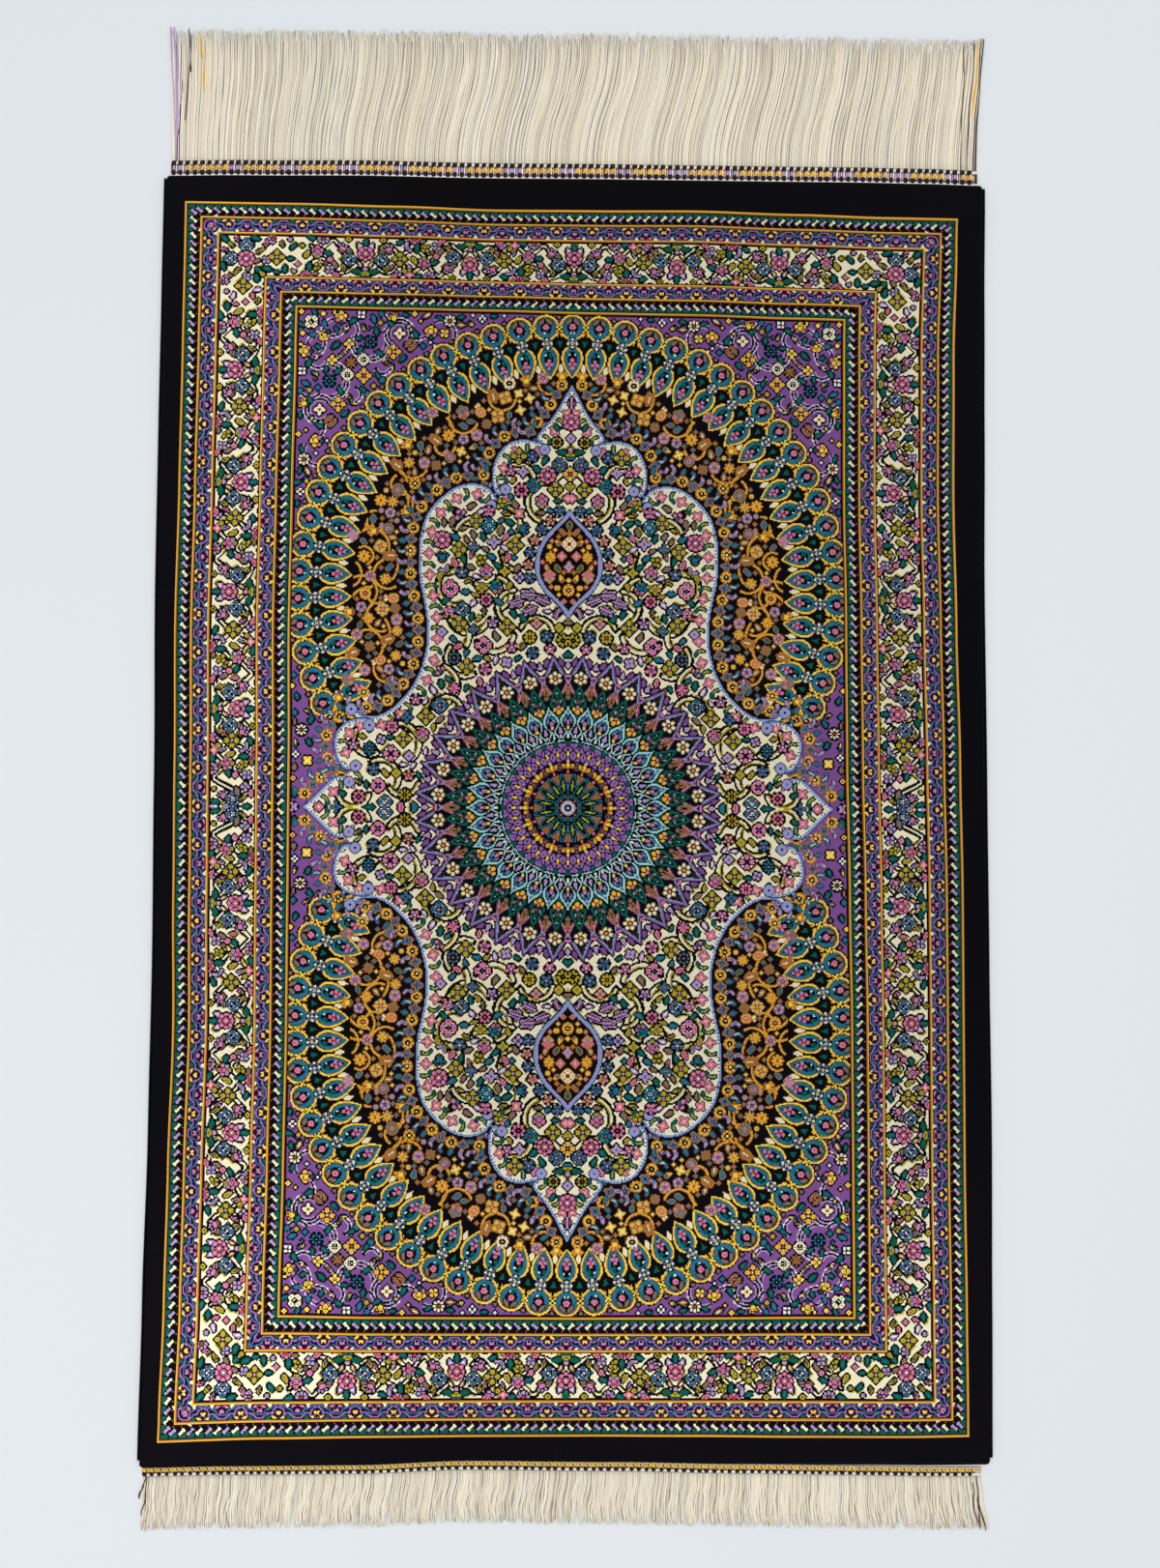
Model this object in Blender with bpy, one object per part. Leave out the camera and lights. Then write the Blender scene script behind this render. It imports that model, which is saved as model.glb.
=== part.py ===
"""A hand-knotted silk rug lying flat on the ground, with its wrapped end bands and its two warp fringes.

The rug lies in the XY plane with its underside at Z = 0, its length along Y and its long fringe towards +Y.
Every piece is drawn about the centre of the knotted body, and the whole is then moved so that the origin is
the middle of the ground that it covers, fringes included. All sizes are in metres.
"""

import math

import bmesh
import bpy
from mathutils import Vector

# Driving sizes of the knotted body, selvedges included.
BODY_WIDTH = 0.800
BODY_LENGTH = 1.2266
PILE_HEIGHT = 0.0045
PILE_SHOULDER = 0.0014
SHOULDER_STEPS = 2
CORNER_RADIUS = 0.004
CORNER_STATIONS = 4

# The overcast cord along each long side.
SELVEDGE_WIDTH = 0.0030
SELVEDGE_HEIGHT = 0.0030
SELVEDGE_SIDES = 9
SELVEDGE_FOOT_TURN = math.radians(32)

# The yarn-wrapped band woven across the bare warps at each end.
BAND_THICKNESS = 0.0022
BAND_SHOULDER = 0.0006

# The loose warp ends, as a comb of teeth that hold about eighteen warps each.
FRINGE_THICKNESS = 0.0018
TEETH = 40
SPINE = 0.0025
SLIT = 0.0008
TOOTH_STATIONS = (0.0, 0.5, 0.96)

# Pieces that lie against each other keep this gap.
GAP = 0.0003

# Stations along a side or an end, and how far the edge strays from straight there.
SIDE_STATIONS = 28
END_STATIONS = 24

# Each row: share of the way from the short-fringe end to the long-fringe end, then how far the left side and
# the right side stray towards +X.
SIDE_DRIFT = (
    # share, left, right
    (0.00, -0.0030, -0.0004),
    (0.12, -0.0012, 0.0004),
    (0.25, 0.0014, 0.0013),
    (0.38, 0.0023, 0.0003),
    (0.52, 0.0011, -0.0004),
    (0.68, -0.0012, -0.0014),
    (0.80, -0.0008, -0.0002),
    (0.90, -0.0002, 0.0006),
    (1.00, 0.0004, 0.0020),
)

# Each row: share of the way from the left side to the right side, then how far the long-fringe end and the
# short-fringe end stray towards +Y.
END_DRIFT = (
    # share, far, near
    (0.00, -0.0018, -0.0024),
    (0.10, -0.0004, -0.0012),
    (0.25, 0.0008, -0.0006),
    (0.38, -0.0003, 0.0030),
    (0.55, 0.0003, 0.0016),
    (0.70, 0.0002, -0.0004),
    (0.85, 0.0003, -0.0016),
    (0.92, -0.0002, -0.0022),
    (1.00, -0.0014, -0.0018),
)

# The two ends. A band runs from left to right, and sags away from the body towards its right end. A fringe
# starts at the band, splays to its own left and right at the tips, and leans sideways halfway along its teeth.
ENDS = {
    "far": {
        "side": 1,
        "column": 1,
        "band_left": -0.3935,
        "band_right": 0.3950,
        "band_height": 0.0155,
        "band_sag": 0.0,
        "tip_left": -0.3975,
        "tip_right": 0.4035,
        "fringe_length": 0.1330,
        "lean": 0.0,
        "ragged": 0.0045,
    },
    "near": {
        "side": -1,
        "column": 2,
        "band_left": -0.3990,
        "band_right": 0.3890,
        "band_height": 0.0085,
        "band_sag": 0.0030,
        "tip_left": -0.4000,
        "tip_right": 0.3975,
        "fringe_length": 0.0500,
        "lean": -0.0015,
        "ragged": 0.0040,
    },
}

# name: (colour, roughness)
YARNS = {
    "silk_pile": ((0.045, 0.035, 0.042), 0.6),
    "selvedge_silk": ((0.022, 0.018, 0.020), 0.6),
    "band_yarn": ((0.42, 0.30, 0.16), 0.65),
    "warp_silk": ((0.72, 0.67, 0.56), 0.6),
}


def yarn(name):
    """The Blender material of one yarn, made once."""
    found = bpy.data.materials.get(name)
    if found:
        return found
    colour, roughness = YARNS[name]
    made = bpy.data.materials.new(name)
    made.use_nodes = True
    shader = made.node_tree.nodes["Principled BSDF"]
    shader.inputs["Base Color"].default_value = (*colour, 1.0)
    shader.inputs["Roughness"].default_value = roughness
    shader.inputs["Metallic"].default_value = 0.0
    return made


def drift(table, column, share):
    """The table's column at this share of the way, eased smoothly from row to row."""
    share = min(max(share, 0.0), 1.0)
    for before, after in zip(table, table[1:]):
        if share <= after[0]:
            part = (share - before[0]) / (after[0] - before[0])
            eased = part * part * (3.0 - 2.0 * part)
            return before[column] + (after[column] - before[column]) * eased
    return table[-1][column]


def side_x(side, y):
    """X of the body's left (-1) or right (+1) edge at this Y."""
    column = 1 if side < 0 else 2
    return side * BODY_WIDTH / 2 + drift(SIDE_DRIFT, column, y / BODY_LENGTH + 0.5)


def end_y(end, x):
    """Y of the body's edge at this end, at this X."""
    return end["side"] * BODY_LENGTH / 2 + drift(END_DRIFT, end["column"], x / BODY_WIDTH + 0.5)


def spread(first, last, count):
    """Evenly spaced values from first to last, both included."""
    return [first + (last - first) * i / (count - 1) for i in range(count)]


def corner(x, y, x_side, y_side, radius):
    """The points of a round corner, from the side to the end, whose square corner is at x, y."""
    points = []
    for turn in spread(0.0, math.pi / 2, CORNER_STATIONS):
        from_x = radius * (1.0 - math.cos(turn))
        from_y = radius * (1.0 - math.sin(turn))
        points.append((x - x_side * from_x, y - y_side * from_y))
    return points


def body_outline(margin):
    """The pile's outline, anticlockwise from its far right corner, with the selvedges' room left free."""
    far, near = ENDS["far"], ENDS["near"]
    reach = BODY_LENGTH / 2 - 2 * CORNER_RADIUS
    across = BODY_WIDTH / 2 - margin - 2 * CORNER_RADIUS
    points = []
    for x_side, end, forward in ((1, far, True), (-1, far, False), (-1, near, True), (1, near, False)):
        x = side_x(x_side, end["side"] * BODY_LENGTH / 2) - x_side * margin
        rounded = corner(x, end_y(end, x), x_side, end["side"], CORNER_RADIUS)
        points += rounded if forward else rounded[::-1]
        if forward:
            points += [(x, end_y(end, x)) for x in spread(x_side * across, -x_side * across, END_STATIONS)]
        else:
            ys = spread(end["side"] * reach, -end["side"] * reach, SIDE_STATIONS)
            points += [(side_x(x_side, y) - x_side * margin, y) for y in ys]
    return points


def close_up(bm, name, material):
    """Turns a closed bmesh into a triangulated object with its faces pointing out."""
    bmesh.ops.triangulate(bm, faces=bm.faces[:])
    bmesh.ops.recalc_face_normals(bm, faces=bm.faces[:])
    mesh = bpy.data.meshes.new(name)
    bm.to_mesh(mesh)
    bm.free()
    mesh.materials.append(yarn(material))
    obj = bpy.data.objects.new(name, mesh)
    bpy.context.scene.collection.objects.link(obj)
    return obj


def slab(name, outline, thickness, shoulder, material):
    """A flat piece on the ground with this outline, whose upper edge is rounded over by shoulder."""
    bm = bmesh.new()
    lower = bm.faces.new([bm.verts.new((x, y, 0.0)) for x, y in outline])
    made = bmesh.ops.extrude_face_region(bm, geom=[lower], use_keep_orig=True)
    raised = [item for item in made["geom"] if isinstance(item, bmesh.types.BMVert)]
    bmesh.ops.translate(bm, verts=raised, vec=(0.0, 0.0, thickness))
    if shoulder:
        rim = [edge for edge in bm.edges if all(v.co.z > thickness / 2 for v in edge.verts)]
        bmesh.ops.bevel(
            bm,
            geom=rim,
            offset=shoulder,
            offset_type="OFFSET",
            segments=SHOULDER_STEPS,
            profile=0.5,
            affect="EDGES",
        )
    return close_up(bm, name, material)


def cord_section():
    """The overcast cord's section as (across, up) points: round above, flat where it lies on the ground."""
    half = SELVEDGE_WIDTH / 2
    foot = math.sin(SELVEDGE_FOOT_TURN)
    points = []
    for turn in spread(-SELVEDGE_FOOT_TURN, math.pi + SELVEDGE_FOOT_TURN, SELVEDGE_SIDES):
        points.append((math.cos(turn) * half, SELVEDGE_HEIGHT * (math.sin(turn) + foot) / (1.0 + foot)))
    return points


def selvedge(name, side):
    """The overcast cord along one long side, following the body's own edge."""
    bm = bmesh.new()
    reach = BODY_LENGTH / 2 - CORNER_RADIUS
    section = cord_section()
    rings = []
    for y in spread(-reach, reach, SIDE_STATIONS):
        middle = side_x(side, y) - side * SELVEDGE_WIDTH / 2
        rings.append([bm.verts.new((middle + across, y, up)) for across, up in section])
    count = len(section)
    for ring, following in zip(rings, rings[1:]):
        for i in range(count):
            j = (i + 1) % count
            bm.faces.new((ring[i], ring[j], following[j], following[i]))
    bm.faces.new(rings[0])
    bm.faces.new(rings[-1][::-1])
    return close_up(bm, name, "selvedge_silk")


def band_edge(end, x, outward):
    """Y of a point of the band at this X, so far outward from the body."""
    share = (x - end["band_left"]) / (end["band_right"] - end["band_left"])
    sag = end["band_sag"] * share**3
    return end_y(end, x) + end["side"] * (GAP + sag + outward)


def end_band(name, end):
    """The wrapped band across one end."""
    xs = spread(end["band_left"], end["band_right"], END_STATIONS)
    inner = [(x, band_edge(end, x, 0.0)) for x in xs]
    outer = [(x, band_edge(end, x, end["band_height"])) for x in reversed(xs)]
    return slab(name, inner + outer, BAND_THICKNESS, BAND_SHOULDER, "band_yarn")


def tooth_length(end, number):
    """How long a tooth is: the full length for some, and a little less for others."""
    uneven = 0.5 + 0.5 * math.sin(2.4 * number) * math.cos(0.7 * number)
    return end["fringe_length"] - end["ragged"] * uneven


def fringe(name, end):
    """The loose warps as one comb: a spine along the band, and teeth that splay towards their tips."""
    left_end, right_end = end["band_left"], end["band_right"]
    root = end["band_height"] + GAP
    outline = [(x, band_edge(end, x, root)) for x in spread(left_end, right_end, END_STATIONS)]
    pitch = (right_end - left_end) / TEETH
    splay = (end["tip_right"] - end["tip_left"]) / (right_end - left_end)
    teeth = []
    for number in range(TEETH):
        left = left_end + number * pitch + (SLIT / 2 if number > 0 else 0.0)
        right = left_end + (number + 1) * pitch - (SLIT / 2 if number < TEETH - 1 else 0.0)
        reach = tooth_length(end, number) - SPINE
        sides = [(left, share) for share in TOOTH_STATIONS] + [((left + right) / 2, 1.0)]
        sides += [(right, share) for share in reversed(TOOTH_STATIONS)]
        for x, share in sides:
            tip_x = end["tip_left"] + (x - left_end) * splay
            sway = end["lean"] * math.sin(math.pi * share)
            y = band_edge(end, x, root + SPINE + reach * share)
            teeth.append((x + (tip_x - x) * share + sway, y))
    return slab(name, outline + teeth[::-1], FRINGE_THICKNESS, 0.0, "warp_silk")


def centre_on_ground(objects):
    """Moves the pieces so that the origin is the middle of the ground they cover."""
    corners = [v.co for obj in objects for v in obj.data.vertices]
    low = Vector([min(c[i] for c in corners) for i in range(3)])
    high = Vector([max(c[i] for c in corners) for i in range(3)])
    middle = (low + high) / 2
    for obj in objects:
        obj.location = (-middle.x, -middle.y, 0.0)


def build():
    for obj in list(bpy.data.objects):
        bpy.data.objects.remove(obj)
    margin = SELVEDGE_WIDTH + GAP
    made = [
        slab("rug_body", body_outline(margin), PILE_HEIGHT, PILE_SHOULDER, "silk_pile"),
        selvedge("selvedge_left", -1),
        selvedge("selvedge_right", 1),
    ]
    for name, end in ENDS.items():
        made.append(end_band(f"end_band_{name}", end))
        made.append(fringe(f"fringe_{name}", end))
    centre_on_ground(made)


build()
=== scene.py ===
"""The looks of the persian rug: a knotted silk pile, its selvedges, its end bands and its fringes.

The pattern is drawn here with pens on a chart of knots, one quarter of it, because the rug's design is
the same left and right and the same at both ends. The chart is mirrored twice and becomes the pile: every
patch of knots of one yarn is a face, laid where the weaving really put it. Chart distances are in knots
from the rug's middle, u to the side and v to the end. All other lengths are in metres, in the frame of
the CAD model.
"""

import math
import random

import bpy
import numpy as np
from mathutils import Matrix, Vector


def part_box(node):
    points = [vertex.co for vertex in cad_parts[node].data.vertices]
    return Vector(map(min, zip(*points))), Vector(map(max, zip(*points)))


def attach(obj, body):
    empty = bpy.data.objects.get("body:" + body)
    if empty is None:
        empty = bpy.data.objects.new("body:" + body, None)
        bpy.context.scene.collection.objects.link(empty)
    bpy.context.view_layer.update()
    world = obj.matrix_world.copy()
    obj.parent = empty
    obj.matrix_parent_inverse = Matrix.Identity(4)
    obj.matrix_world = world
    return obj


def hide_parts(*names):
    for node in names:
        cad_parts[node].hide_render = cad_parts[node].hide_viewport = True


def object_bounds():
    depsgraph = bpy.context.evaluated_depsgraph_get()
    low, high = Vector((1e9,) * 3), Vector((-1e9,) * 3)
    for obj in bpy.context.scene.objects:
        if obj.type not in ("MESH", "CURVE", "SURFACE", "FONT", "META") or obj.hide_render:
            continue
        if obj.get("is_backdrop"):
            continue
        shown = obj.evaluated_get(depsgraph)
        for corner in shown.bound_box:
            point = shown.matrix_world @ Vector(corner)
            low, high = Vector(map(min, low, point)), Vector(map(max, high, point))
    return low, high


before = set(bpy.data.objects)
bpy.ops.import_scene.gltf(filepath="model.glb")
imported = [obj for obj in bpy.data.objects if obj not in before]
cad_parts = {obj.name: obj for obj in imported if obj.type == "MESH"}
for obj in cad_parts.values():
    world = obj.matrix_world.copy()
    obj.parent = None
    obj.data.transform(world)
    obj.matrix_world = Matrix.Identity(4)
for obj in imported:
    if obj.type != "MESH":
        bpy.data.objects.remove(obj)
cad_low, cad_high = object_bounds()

# ---------------------------------------------------------------------------------------------------------
# The chart and its pen
# ---------------------------------------------------------------------------------------------------------

# Knots in a quarter of the rug, from its middle to its side and to its end.
CHART_COLUMNS = 370
CHART_ROWS = 567

# How finely a stroke is followed, and how far past its own size a mark's window reaches, in knots.
STROKE_STEP = 0.3
MARGIN = 1.5

# Every yarn's colour as it should look in plain white light, red, green and blue from 0 to 255. Ivory and
# violet are used for two open grounds only, so that those can be told from the flowers.
YARN_COLOURS = (
    # name, red, green, blue
    ("black", 12, 10, 15),
    ("navy", 20, 18, 50),
    ("brown", 70, 44, 30),
    ("gold", 238, 178, 60),
    ("amber", 182, 114, 40),
    ("yellow", 255, 212, 76),
    ("cream", 243, 232, 192),
    ("white", 240, 238, 228),
    ("lilac", 182, 150, 198),
    ("purple", 124, 80, 140),
    ("orchid", 154, 108, 172),
    ("green", 12, 92, 76),
    ("teal", 26, 114, 140),
    ("slate", 68, 106, 138),
    ("sky", 134, 158, 206),
    ("pink", 216, 122, 160),
    ("salmon", 212, 136, 124),
    ("olive", 180, 164, 44),
    ("taupe", 130, 108, 96),
    ("camel", 150, 108, 68),
    ("aqua", 164, 214, 216),
    ("rust", 176, 74, 52),
    ("ivory", 244, 234, 198),
    ("violet", 128, 82, 148),
)
YARN = {row[0]: number for number, row in enumerate(YARN_COLOURS)}


class Chart:
    """A quarter of the knot chart: one yarn number for every knot, row by row from the rug's middle."""

    def __init__(self, ground):
        self.knots = np.full((CHART_ROWS, CHART_COLUMNS), YARN[ground], dtype=np.uint8)

    def window(self, u, v, reach):
        """The part of the chart within reach of a point, as an index, and the places of its knots."""
        left = min(max(int(u - reach), 0), CHART_COLUMNS)
        right = min(max(int(u + reach) + 2, left), CHART_COLUMNS)
        low = min(max(int(v - reach), 0), CHART_ROWS)
        high = min(max(int(v + reach) + 2, low), CHART_ROWS)
        rows, columns = np.mgrid[low:high, left:right]
        return (slice(low, high), slice(left, right)), columns + 0.5, rows + 0.5

    def stamp(self, area, mask, yarn, rim=None):
        """Ties the masked knots in one yarn, and the knots right beside them in the rim's yarn."""
        part = self.knots[area]
        if rim is not None:
            part[grown(mask) & ~mask] = YARN[rim]
        part[mask] = YARN[yarn]


def knot_places():
    """The row and the column of every knot of the chart."""
    return np.mgrid[0:CHART_ROWS, 0:CHART_COLUMNS]


def grown(mask):
    """The mask with one more knot on its four sides."""
    wider = mask.copy()
    wider[1:] |= mask[:-1]
    wider[:-1] |= mask[1:]
    wider[:, 1:] |= mask[:, :-1]
    wider[:, :-1] |= mask[:, 1:]
    return wider


def inside(points, uu, vv):
    """Which places lie inside the closed outline."""
    found = np.zeros(uu.shape, dtype=bool)
    for (u0, v0), (u1, v1) in zip(points, points[1:] + points[:1]):
        if v0 == v1:
            continue
        crossed = (v0 > vv) != (v1 > vv)
        found ^= crossed & (uu < u0 + (vv - v0) * (u1 - u0) / (v1 - v0))
    return found


def between_points(t, p, q, r, s):
    """A smooth curve's value a share t of the way from q to r, with p before them and s after them."""
    slope, bend, twist = r - p, 2 * p - 5 * q + 4 * r - s, 3 * q - p - 3 * r + s
    return 0.5 * (2 * q + slope * t + bend * t**2 + twist * t**3)


def smooth(points, steps=8):
    """A curve that passes through the points, as a chain of short straight runs."""
    points = list(points)
    if len(points) < 3:
        return points
    chain = points[:1] + points + points[-1:]
    curve = []
    for corners in zip(chain, chain[1:], chain[2:], chain[3:]):
        for step in range(steps):
            curve.append(tuple(between_points(step / steps, *values) for values in zip(*corners)))
    return curve + points[-1:]


def walk(points, pitch, start=0.0):
    """Places every pitch along a chain of runs, as (u, v, heading in degrees from the v axis towards u)."""
    places = []
    left = start
    for (u0, v0), (u1, v1) in zip(points, points[1:]):
        length = math.hypot(u1 - u0, v1 - v0)
        while left <= length and length > 0:
            share = left / length
            u, v = u0 + (u1 - u0) * share, v0 + (v1 - v0) * share
            places.append((u, v, math.degrees(math.atan2(u1 - u0, v1 - v0))))
            left += pitch
        left -= length
    return places


def round_path(radius, first, last, steps=24):
    """A round path about the foot, from one angle to another, anticlockwise from the p axis."""
    angles = [math.radians(first + (last - first) * step / steps) for step in range(steps + 1)]
    return [(radius * math.cos(angle), radius * math.sin(angle)) for angle in angles]


def mirrored(half):
    """A closed outline from its right half, listed from one end to the other."""
    return half + [(-p, q) for p, q in reversed(half)]


def beside(points, distance):
    """The chain moved sideways by this distance, to the right of its own heading."""
    moved = []
    for u, v, heading in walk(points, 1.0):
        angle = math.radians(heading)
        moved.append((u + distance * math.cos(angle), v - distance * math.sin(angle)))
    return moved


class Pen:
    """Draws one motif in the motif's own frame: p runs across it and q along it, away from its foot."""

    def __init__(self, chart, u, v, turn=0.0, size=1.0, flip=1):
        angle = math.radians(turn)
        self.chart, self.u, self.v, self.size = chart, u, v, size
        self.across = (flip * math.cos(angle), -flip * math.sin(angle))
        self.along = (math.sin(angle), math.cos(angle))

    def at(self, p, q):
        """The chart place of a point of the motif."""
        u = self.u + self.size * (p * self.across[0] + q * self.along[0])
        v = self.v + self.size * (p * self.across[1] + q * self.along[1])
        return u, v

    def moved(self, p=0.0, q=0.0, lean=0.0, size=1.0):
        """A pen for a part of the motif, with its foot at p, q and leaning from q towards p."""
        angle = math.radians(lean)
        part = Pen(self.chart, *self.at(p, q), size=self.size * size)
        c, s = math.cos(angle), math.sin(angle)
        part.along = tuple(c * a + s * b for a, b in zip(self.along, self.across))
        part.across = tuple(c * b - s * a for a, b in zip(self.along, self.across))
        return part

    def out(self, q):
        """A pen further along, or back where q is negative."""
        return self.moved(0.0, q)

    def spokes(self, count, radius, first=0.0):
        """Pens on a circle about the foot, each heading outwards."""
        for number in range(count):
            lean = first + 360.0 * number / count
            angle = math.radians(lean)
            yield self.moved(radius * math.sin(angle), radius * math.cos(angle), lean)

    def grid(self, reach):
        """The chart's window about the foot, and its knots' p and q."""
        area, uu, vv = self.chart.window(self.u, self.v, reach * self.size + MARGIN)
        du, dv = uu - self.u, vv - self.v
        p = (du * self.across[0] + dv * self.across[1]) / self.size
        q = (du * self.along[0] + dv * self.along[1]) / self.size
        return area, p, q

    def oval(self, yarn, width, length, rim=None):
        """An oval about the foot."""
        area, p, q = self.grid(max(width, length) / 2)
        self.chart.stamp(area, (2 * p / width) ** 2 + (2 * q / length) ** 2 <= 1.0, yarn, rim)

    def disc(self, yarn, radius, rim=None):
        """A round patch about the foot."""
        self.oval(yarn, 2 * radius, 2 * radius, rim)

    def ring(self, yarn, radius, width, rim=None):
        """A ring about the foot, with its radius to the middle of its line."""
        area, p, q = self.grid(radius + width)
        self.chart.stamp(area, np.abs(np.hypot(p, q) - radius) <= width / 2, yarn, rim)

    def bar(self, yarn, width, length, rim=None):
        """A rectangle about the foot."""
        area, p, q = self.grid(max(width, length) / 2)
        self.chart.stamp(area, (np.abs(p) <= width / 2) & (np.abs(q) <= length / 2), yarn, rim)

    def blade(self, yarn, width, length, rim=None):
        """A leaf from the foot outwards, pointed at both ends and widest a little below its middle."""
        area, p, q = self.grid(length)
        share = np.clip(q / length, 0.0, 1.0)
        half = 0.5 * width * np.sin(math.pi * share**0.8) ** 0.8
        self.chart.stamp(area, (q > 0) & (q < length) & (np.abs(p) <= half), yarn, rim)

    def drop(self, yarn, width, length, rim=None):
        """A teardrop from the foot outwards: round at the foot and pointed at the far end."""
        area, p, q = self.grid(length)
        share = np.clip(q / length, 0.0, 1.0)
        foot = np.sqrt(np.clip(share * 6.0, 0.0, 1.0))
        tip = np.clip(1.25 * (1.0 - share), 0.0, 1.0) ** 0.75
        half = 0.5 * width * foot * tip
        self.chart.stamp(area, (q > 0) & (q < length) & (np.abs(p) <= half), yarn, rim)

    def checks(self, yarn, other, radius, rim=None):
        """A round patch of two yarns, knot by knot in turn."""
        area, p, q = self.grid(radius)
        mask = np.hypot(p, q) <= radius
        self.chart.stamp(area, mask, yarn, rim)
        _, uu, vv = self.chart.window(self.u, self.v, radius * self.size + MARGIN)
        self.chart.stamp(area, mask & ((np.floor(uu) + np.floor(vv)) % 2 == 0), other)

    def shape(self, points, yarn, rim=None):
        """A closed outline, filled."""
        corners = [self.at(p, q) for p, q in points]
        reach = max(math.hypot(u - self.u, v - self.v) for u, v in corners)
        area, uu, vv = self.chart.window(self.u, self.v, reach + 2)
        self.chart.stamp(area, inside(corners, uu, vv), yarn, rim)

    def stroke(self, points, width, yarn, rim=None, beads=None):
        """A line along the points. Beads are (yarn, knots between two beads, knots in a bead)."""
        corners = [self.at(p, q) for p, q in points]
        steps = np.array([(u, v) for u, v, _ in walk(corners, STROKE_STEP)]).reshape(-1, 2)
        if not len(steps):
            return
        middle = (steps.min(0) + steps.max(0)) / 2
        reach = float(np.abs(steps - middle).max()) + width + 2
        area, uu, vv = self.chart.window(middle[0], middle[1], reach)
        if uu.size == 0:
            return
        corner = (uu[0, 0] - 0.5, vv[0, 0] - 0.5)
        mask = np.zeros(uu.shape, dtype=bool)
        bead = np.zeros(uu.shape, dtype=bool)
        if beads:
            bead_yarn, apart, long = beads
            phase = (np.arange(len(steps)) * STROKE_STEP) % (apart + long)
            mark_line(bead, steps[phase >= apart] - corner, width)
        mark_line(mask, steps - corner, width)
        self.chart.stamp(area, mask, yarn, rim)
        if beads:
            self.chart.stamp(area, bead, bead_yarn)


def mark_line(mask, steps, width):
    """Marks the knots that a line of this width covers, given places along it in the mask's own frame."""
    spread = int(width / 2) + 1
    columns = np.floor(steps[:, 0]).astype(int)
    rows = np.floor(steps[:, 1]).astype(int)
    for down in range(-spread, spread + 1):
        for over in range(-spread, spread + 1):
            far = np.hypot(columns + over + 0.5 - steps[:, 0], rows + down + 0.5 - steps[:, 1])
            hit = far <= width / 2 if (down or over) else np.full(len(steps), True)
            c, r = columns[hit] + over, rows[hit] + down
            kept = (c >= 0) & (c < mask.shape[1]) & (r >= 0) & (r < mask.shape[0])
            mask[r[kept], c[kept]] = True


# ---------------------------------------------------------------------------------------------------------
# Motifs: each takes a pen at its middle or foot and the yarn of its outline
# ---------------------------------------------------------------------------------------------------------


def rosette(pen, rim, petal, heart, spark):
    """Eight round lobes about a checked heart, seven knots across each half."""
    for part in pen.spokes(4, 5.2):
        part.oval(petal, 4.6, 3.6, rim)
        part.disc(heart, 0.7)
    for part in pen.spokes(4, 5.4, 45.0):
        part.disc(petal, 1.9, rim)
    pen.checks(petal, rim, 3.2, rim)
    pen.disc(heart, 1.5)
    pen.disc(spark, 0.8)


def beaded(pen, rim, petal, spark, heart):
    """Four wide petals with beaded lines between them on the diagonals."""
    pen.disc(rim, 6.4)
    for part in pen.spokes(4, 4.3):
        part.oval(petal, 5.4, 4.2, rim)
        part.out(0.6).disc(rim, 0.6)
    pen.disc(rim, 2.4)
    for lean in (45.0, 135.0):
        arm = pen.moved(0.0, 0.0, lean)
        arm.stroke([(0.0, -5.2), (0.0, 5.2)], 1.0, spark, beads=(rim, 1.4, 1.4))
    pen.disc(heart, 0.8)


def quatrefoil(pen, rim, petal, heart, spark):
    """Four notched petals on the axes, four small dots between them."""
    for part in pen.spokes(4, 4.6, 45.0):
        part.disc(spark, 1.1, rim)
    for part in pen.spokes(4, 4.4):
        part.oval(petal, 4.4, 4.6, rim)
        part.out(1.8).disc(rim, 0.5)
    pen.disc(rim, 2.2)
    pen.disc(heart, 1.2)
    pen.disc(spark, 0.6)


def daisy(pen, rim, petal, heart):
    """Eight small petals about a dark heart."""
    pen.disc(rim, 6.0)
    for part in pen.spokes(8, 3.8):
        part.oval(petal, 2.0, 3.0)
    pen.disc(heart, 0.9)


def round_flower(pen, rim, petal, heart, spark):
    """A small flower of five round petals."""
    pen.disc(rim, 5.4)
    for part in pen.spokes(5, 3.3):
        part.oval(petal, 2.9, 3.5)
    pen.disc(heart, 1.7)
    pen.disc(spark, 0.9)


def gilt_flower(pen, rim, petal, heart, spark):
    """A small flower with eight bead petals and a wide dark heart."""
    pen.disc(rim, 5.6)
    pen.disc("black", 4.8)
    for part in pen.spokes(8, 4.0):
        part.disc(petal, 1.45)
    pen.disc(heart, 1.6)
    pen.disc(spark, 0.9)


def cross(pen, rim, petal, heart):
    """Four pointed petals on the axes."""
    for part in pen.spokes(4, 0.0):
        part.blade(petal, 3.4, 5.0, rim)
    for part in pen.spokes(4, 0.0):
        part.blade(petal, 3.4, 5.0)
    pen.disc(heart, 1.2)


def diamond(pen, rim, petal, heart, spark):
    """A four-pointed star with a notched edge."""
    for part in pen.spokes(4, 3.4):
        part.disc(petal, 1.5, rim)
    pen.moved(lean=45.0).bar(petal, 5.6, 5.6, rim)
    for part in pen.spokes(4, 3.4):
        part.disc(petal, 1.4)
    pen.disc(heart, 1.5)
    pen.disc(spark, 0.6)


def four_dots(pen, rim, petal, heart):
    """Four round dots about a small heart."""
    for part in pen.spokes(4, 2.7):
        part.disc(petal, 1.5, rim)
    pen.disc(heart, 0.9)


def star(pen, rim, petal, heart):
    """A thin star of eight points."""
    for part in pen.spokes(8, 0.0):
        part.blade(petal, 1.8, 5.2, rim)
    for part in pen.spokes(4, 0.0):
        part.blade(petal, 2.2, 5.8)
    pen.disc(heart, 1.1)


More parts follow.
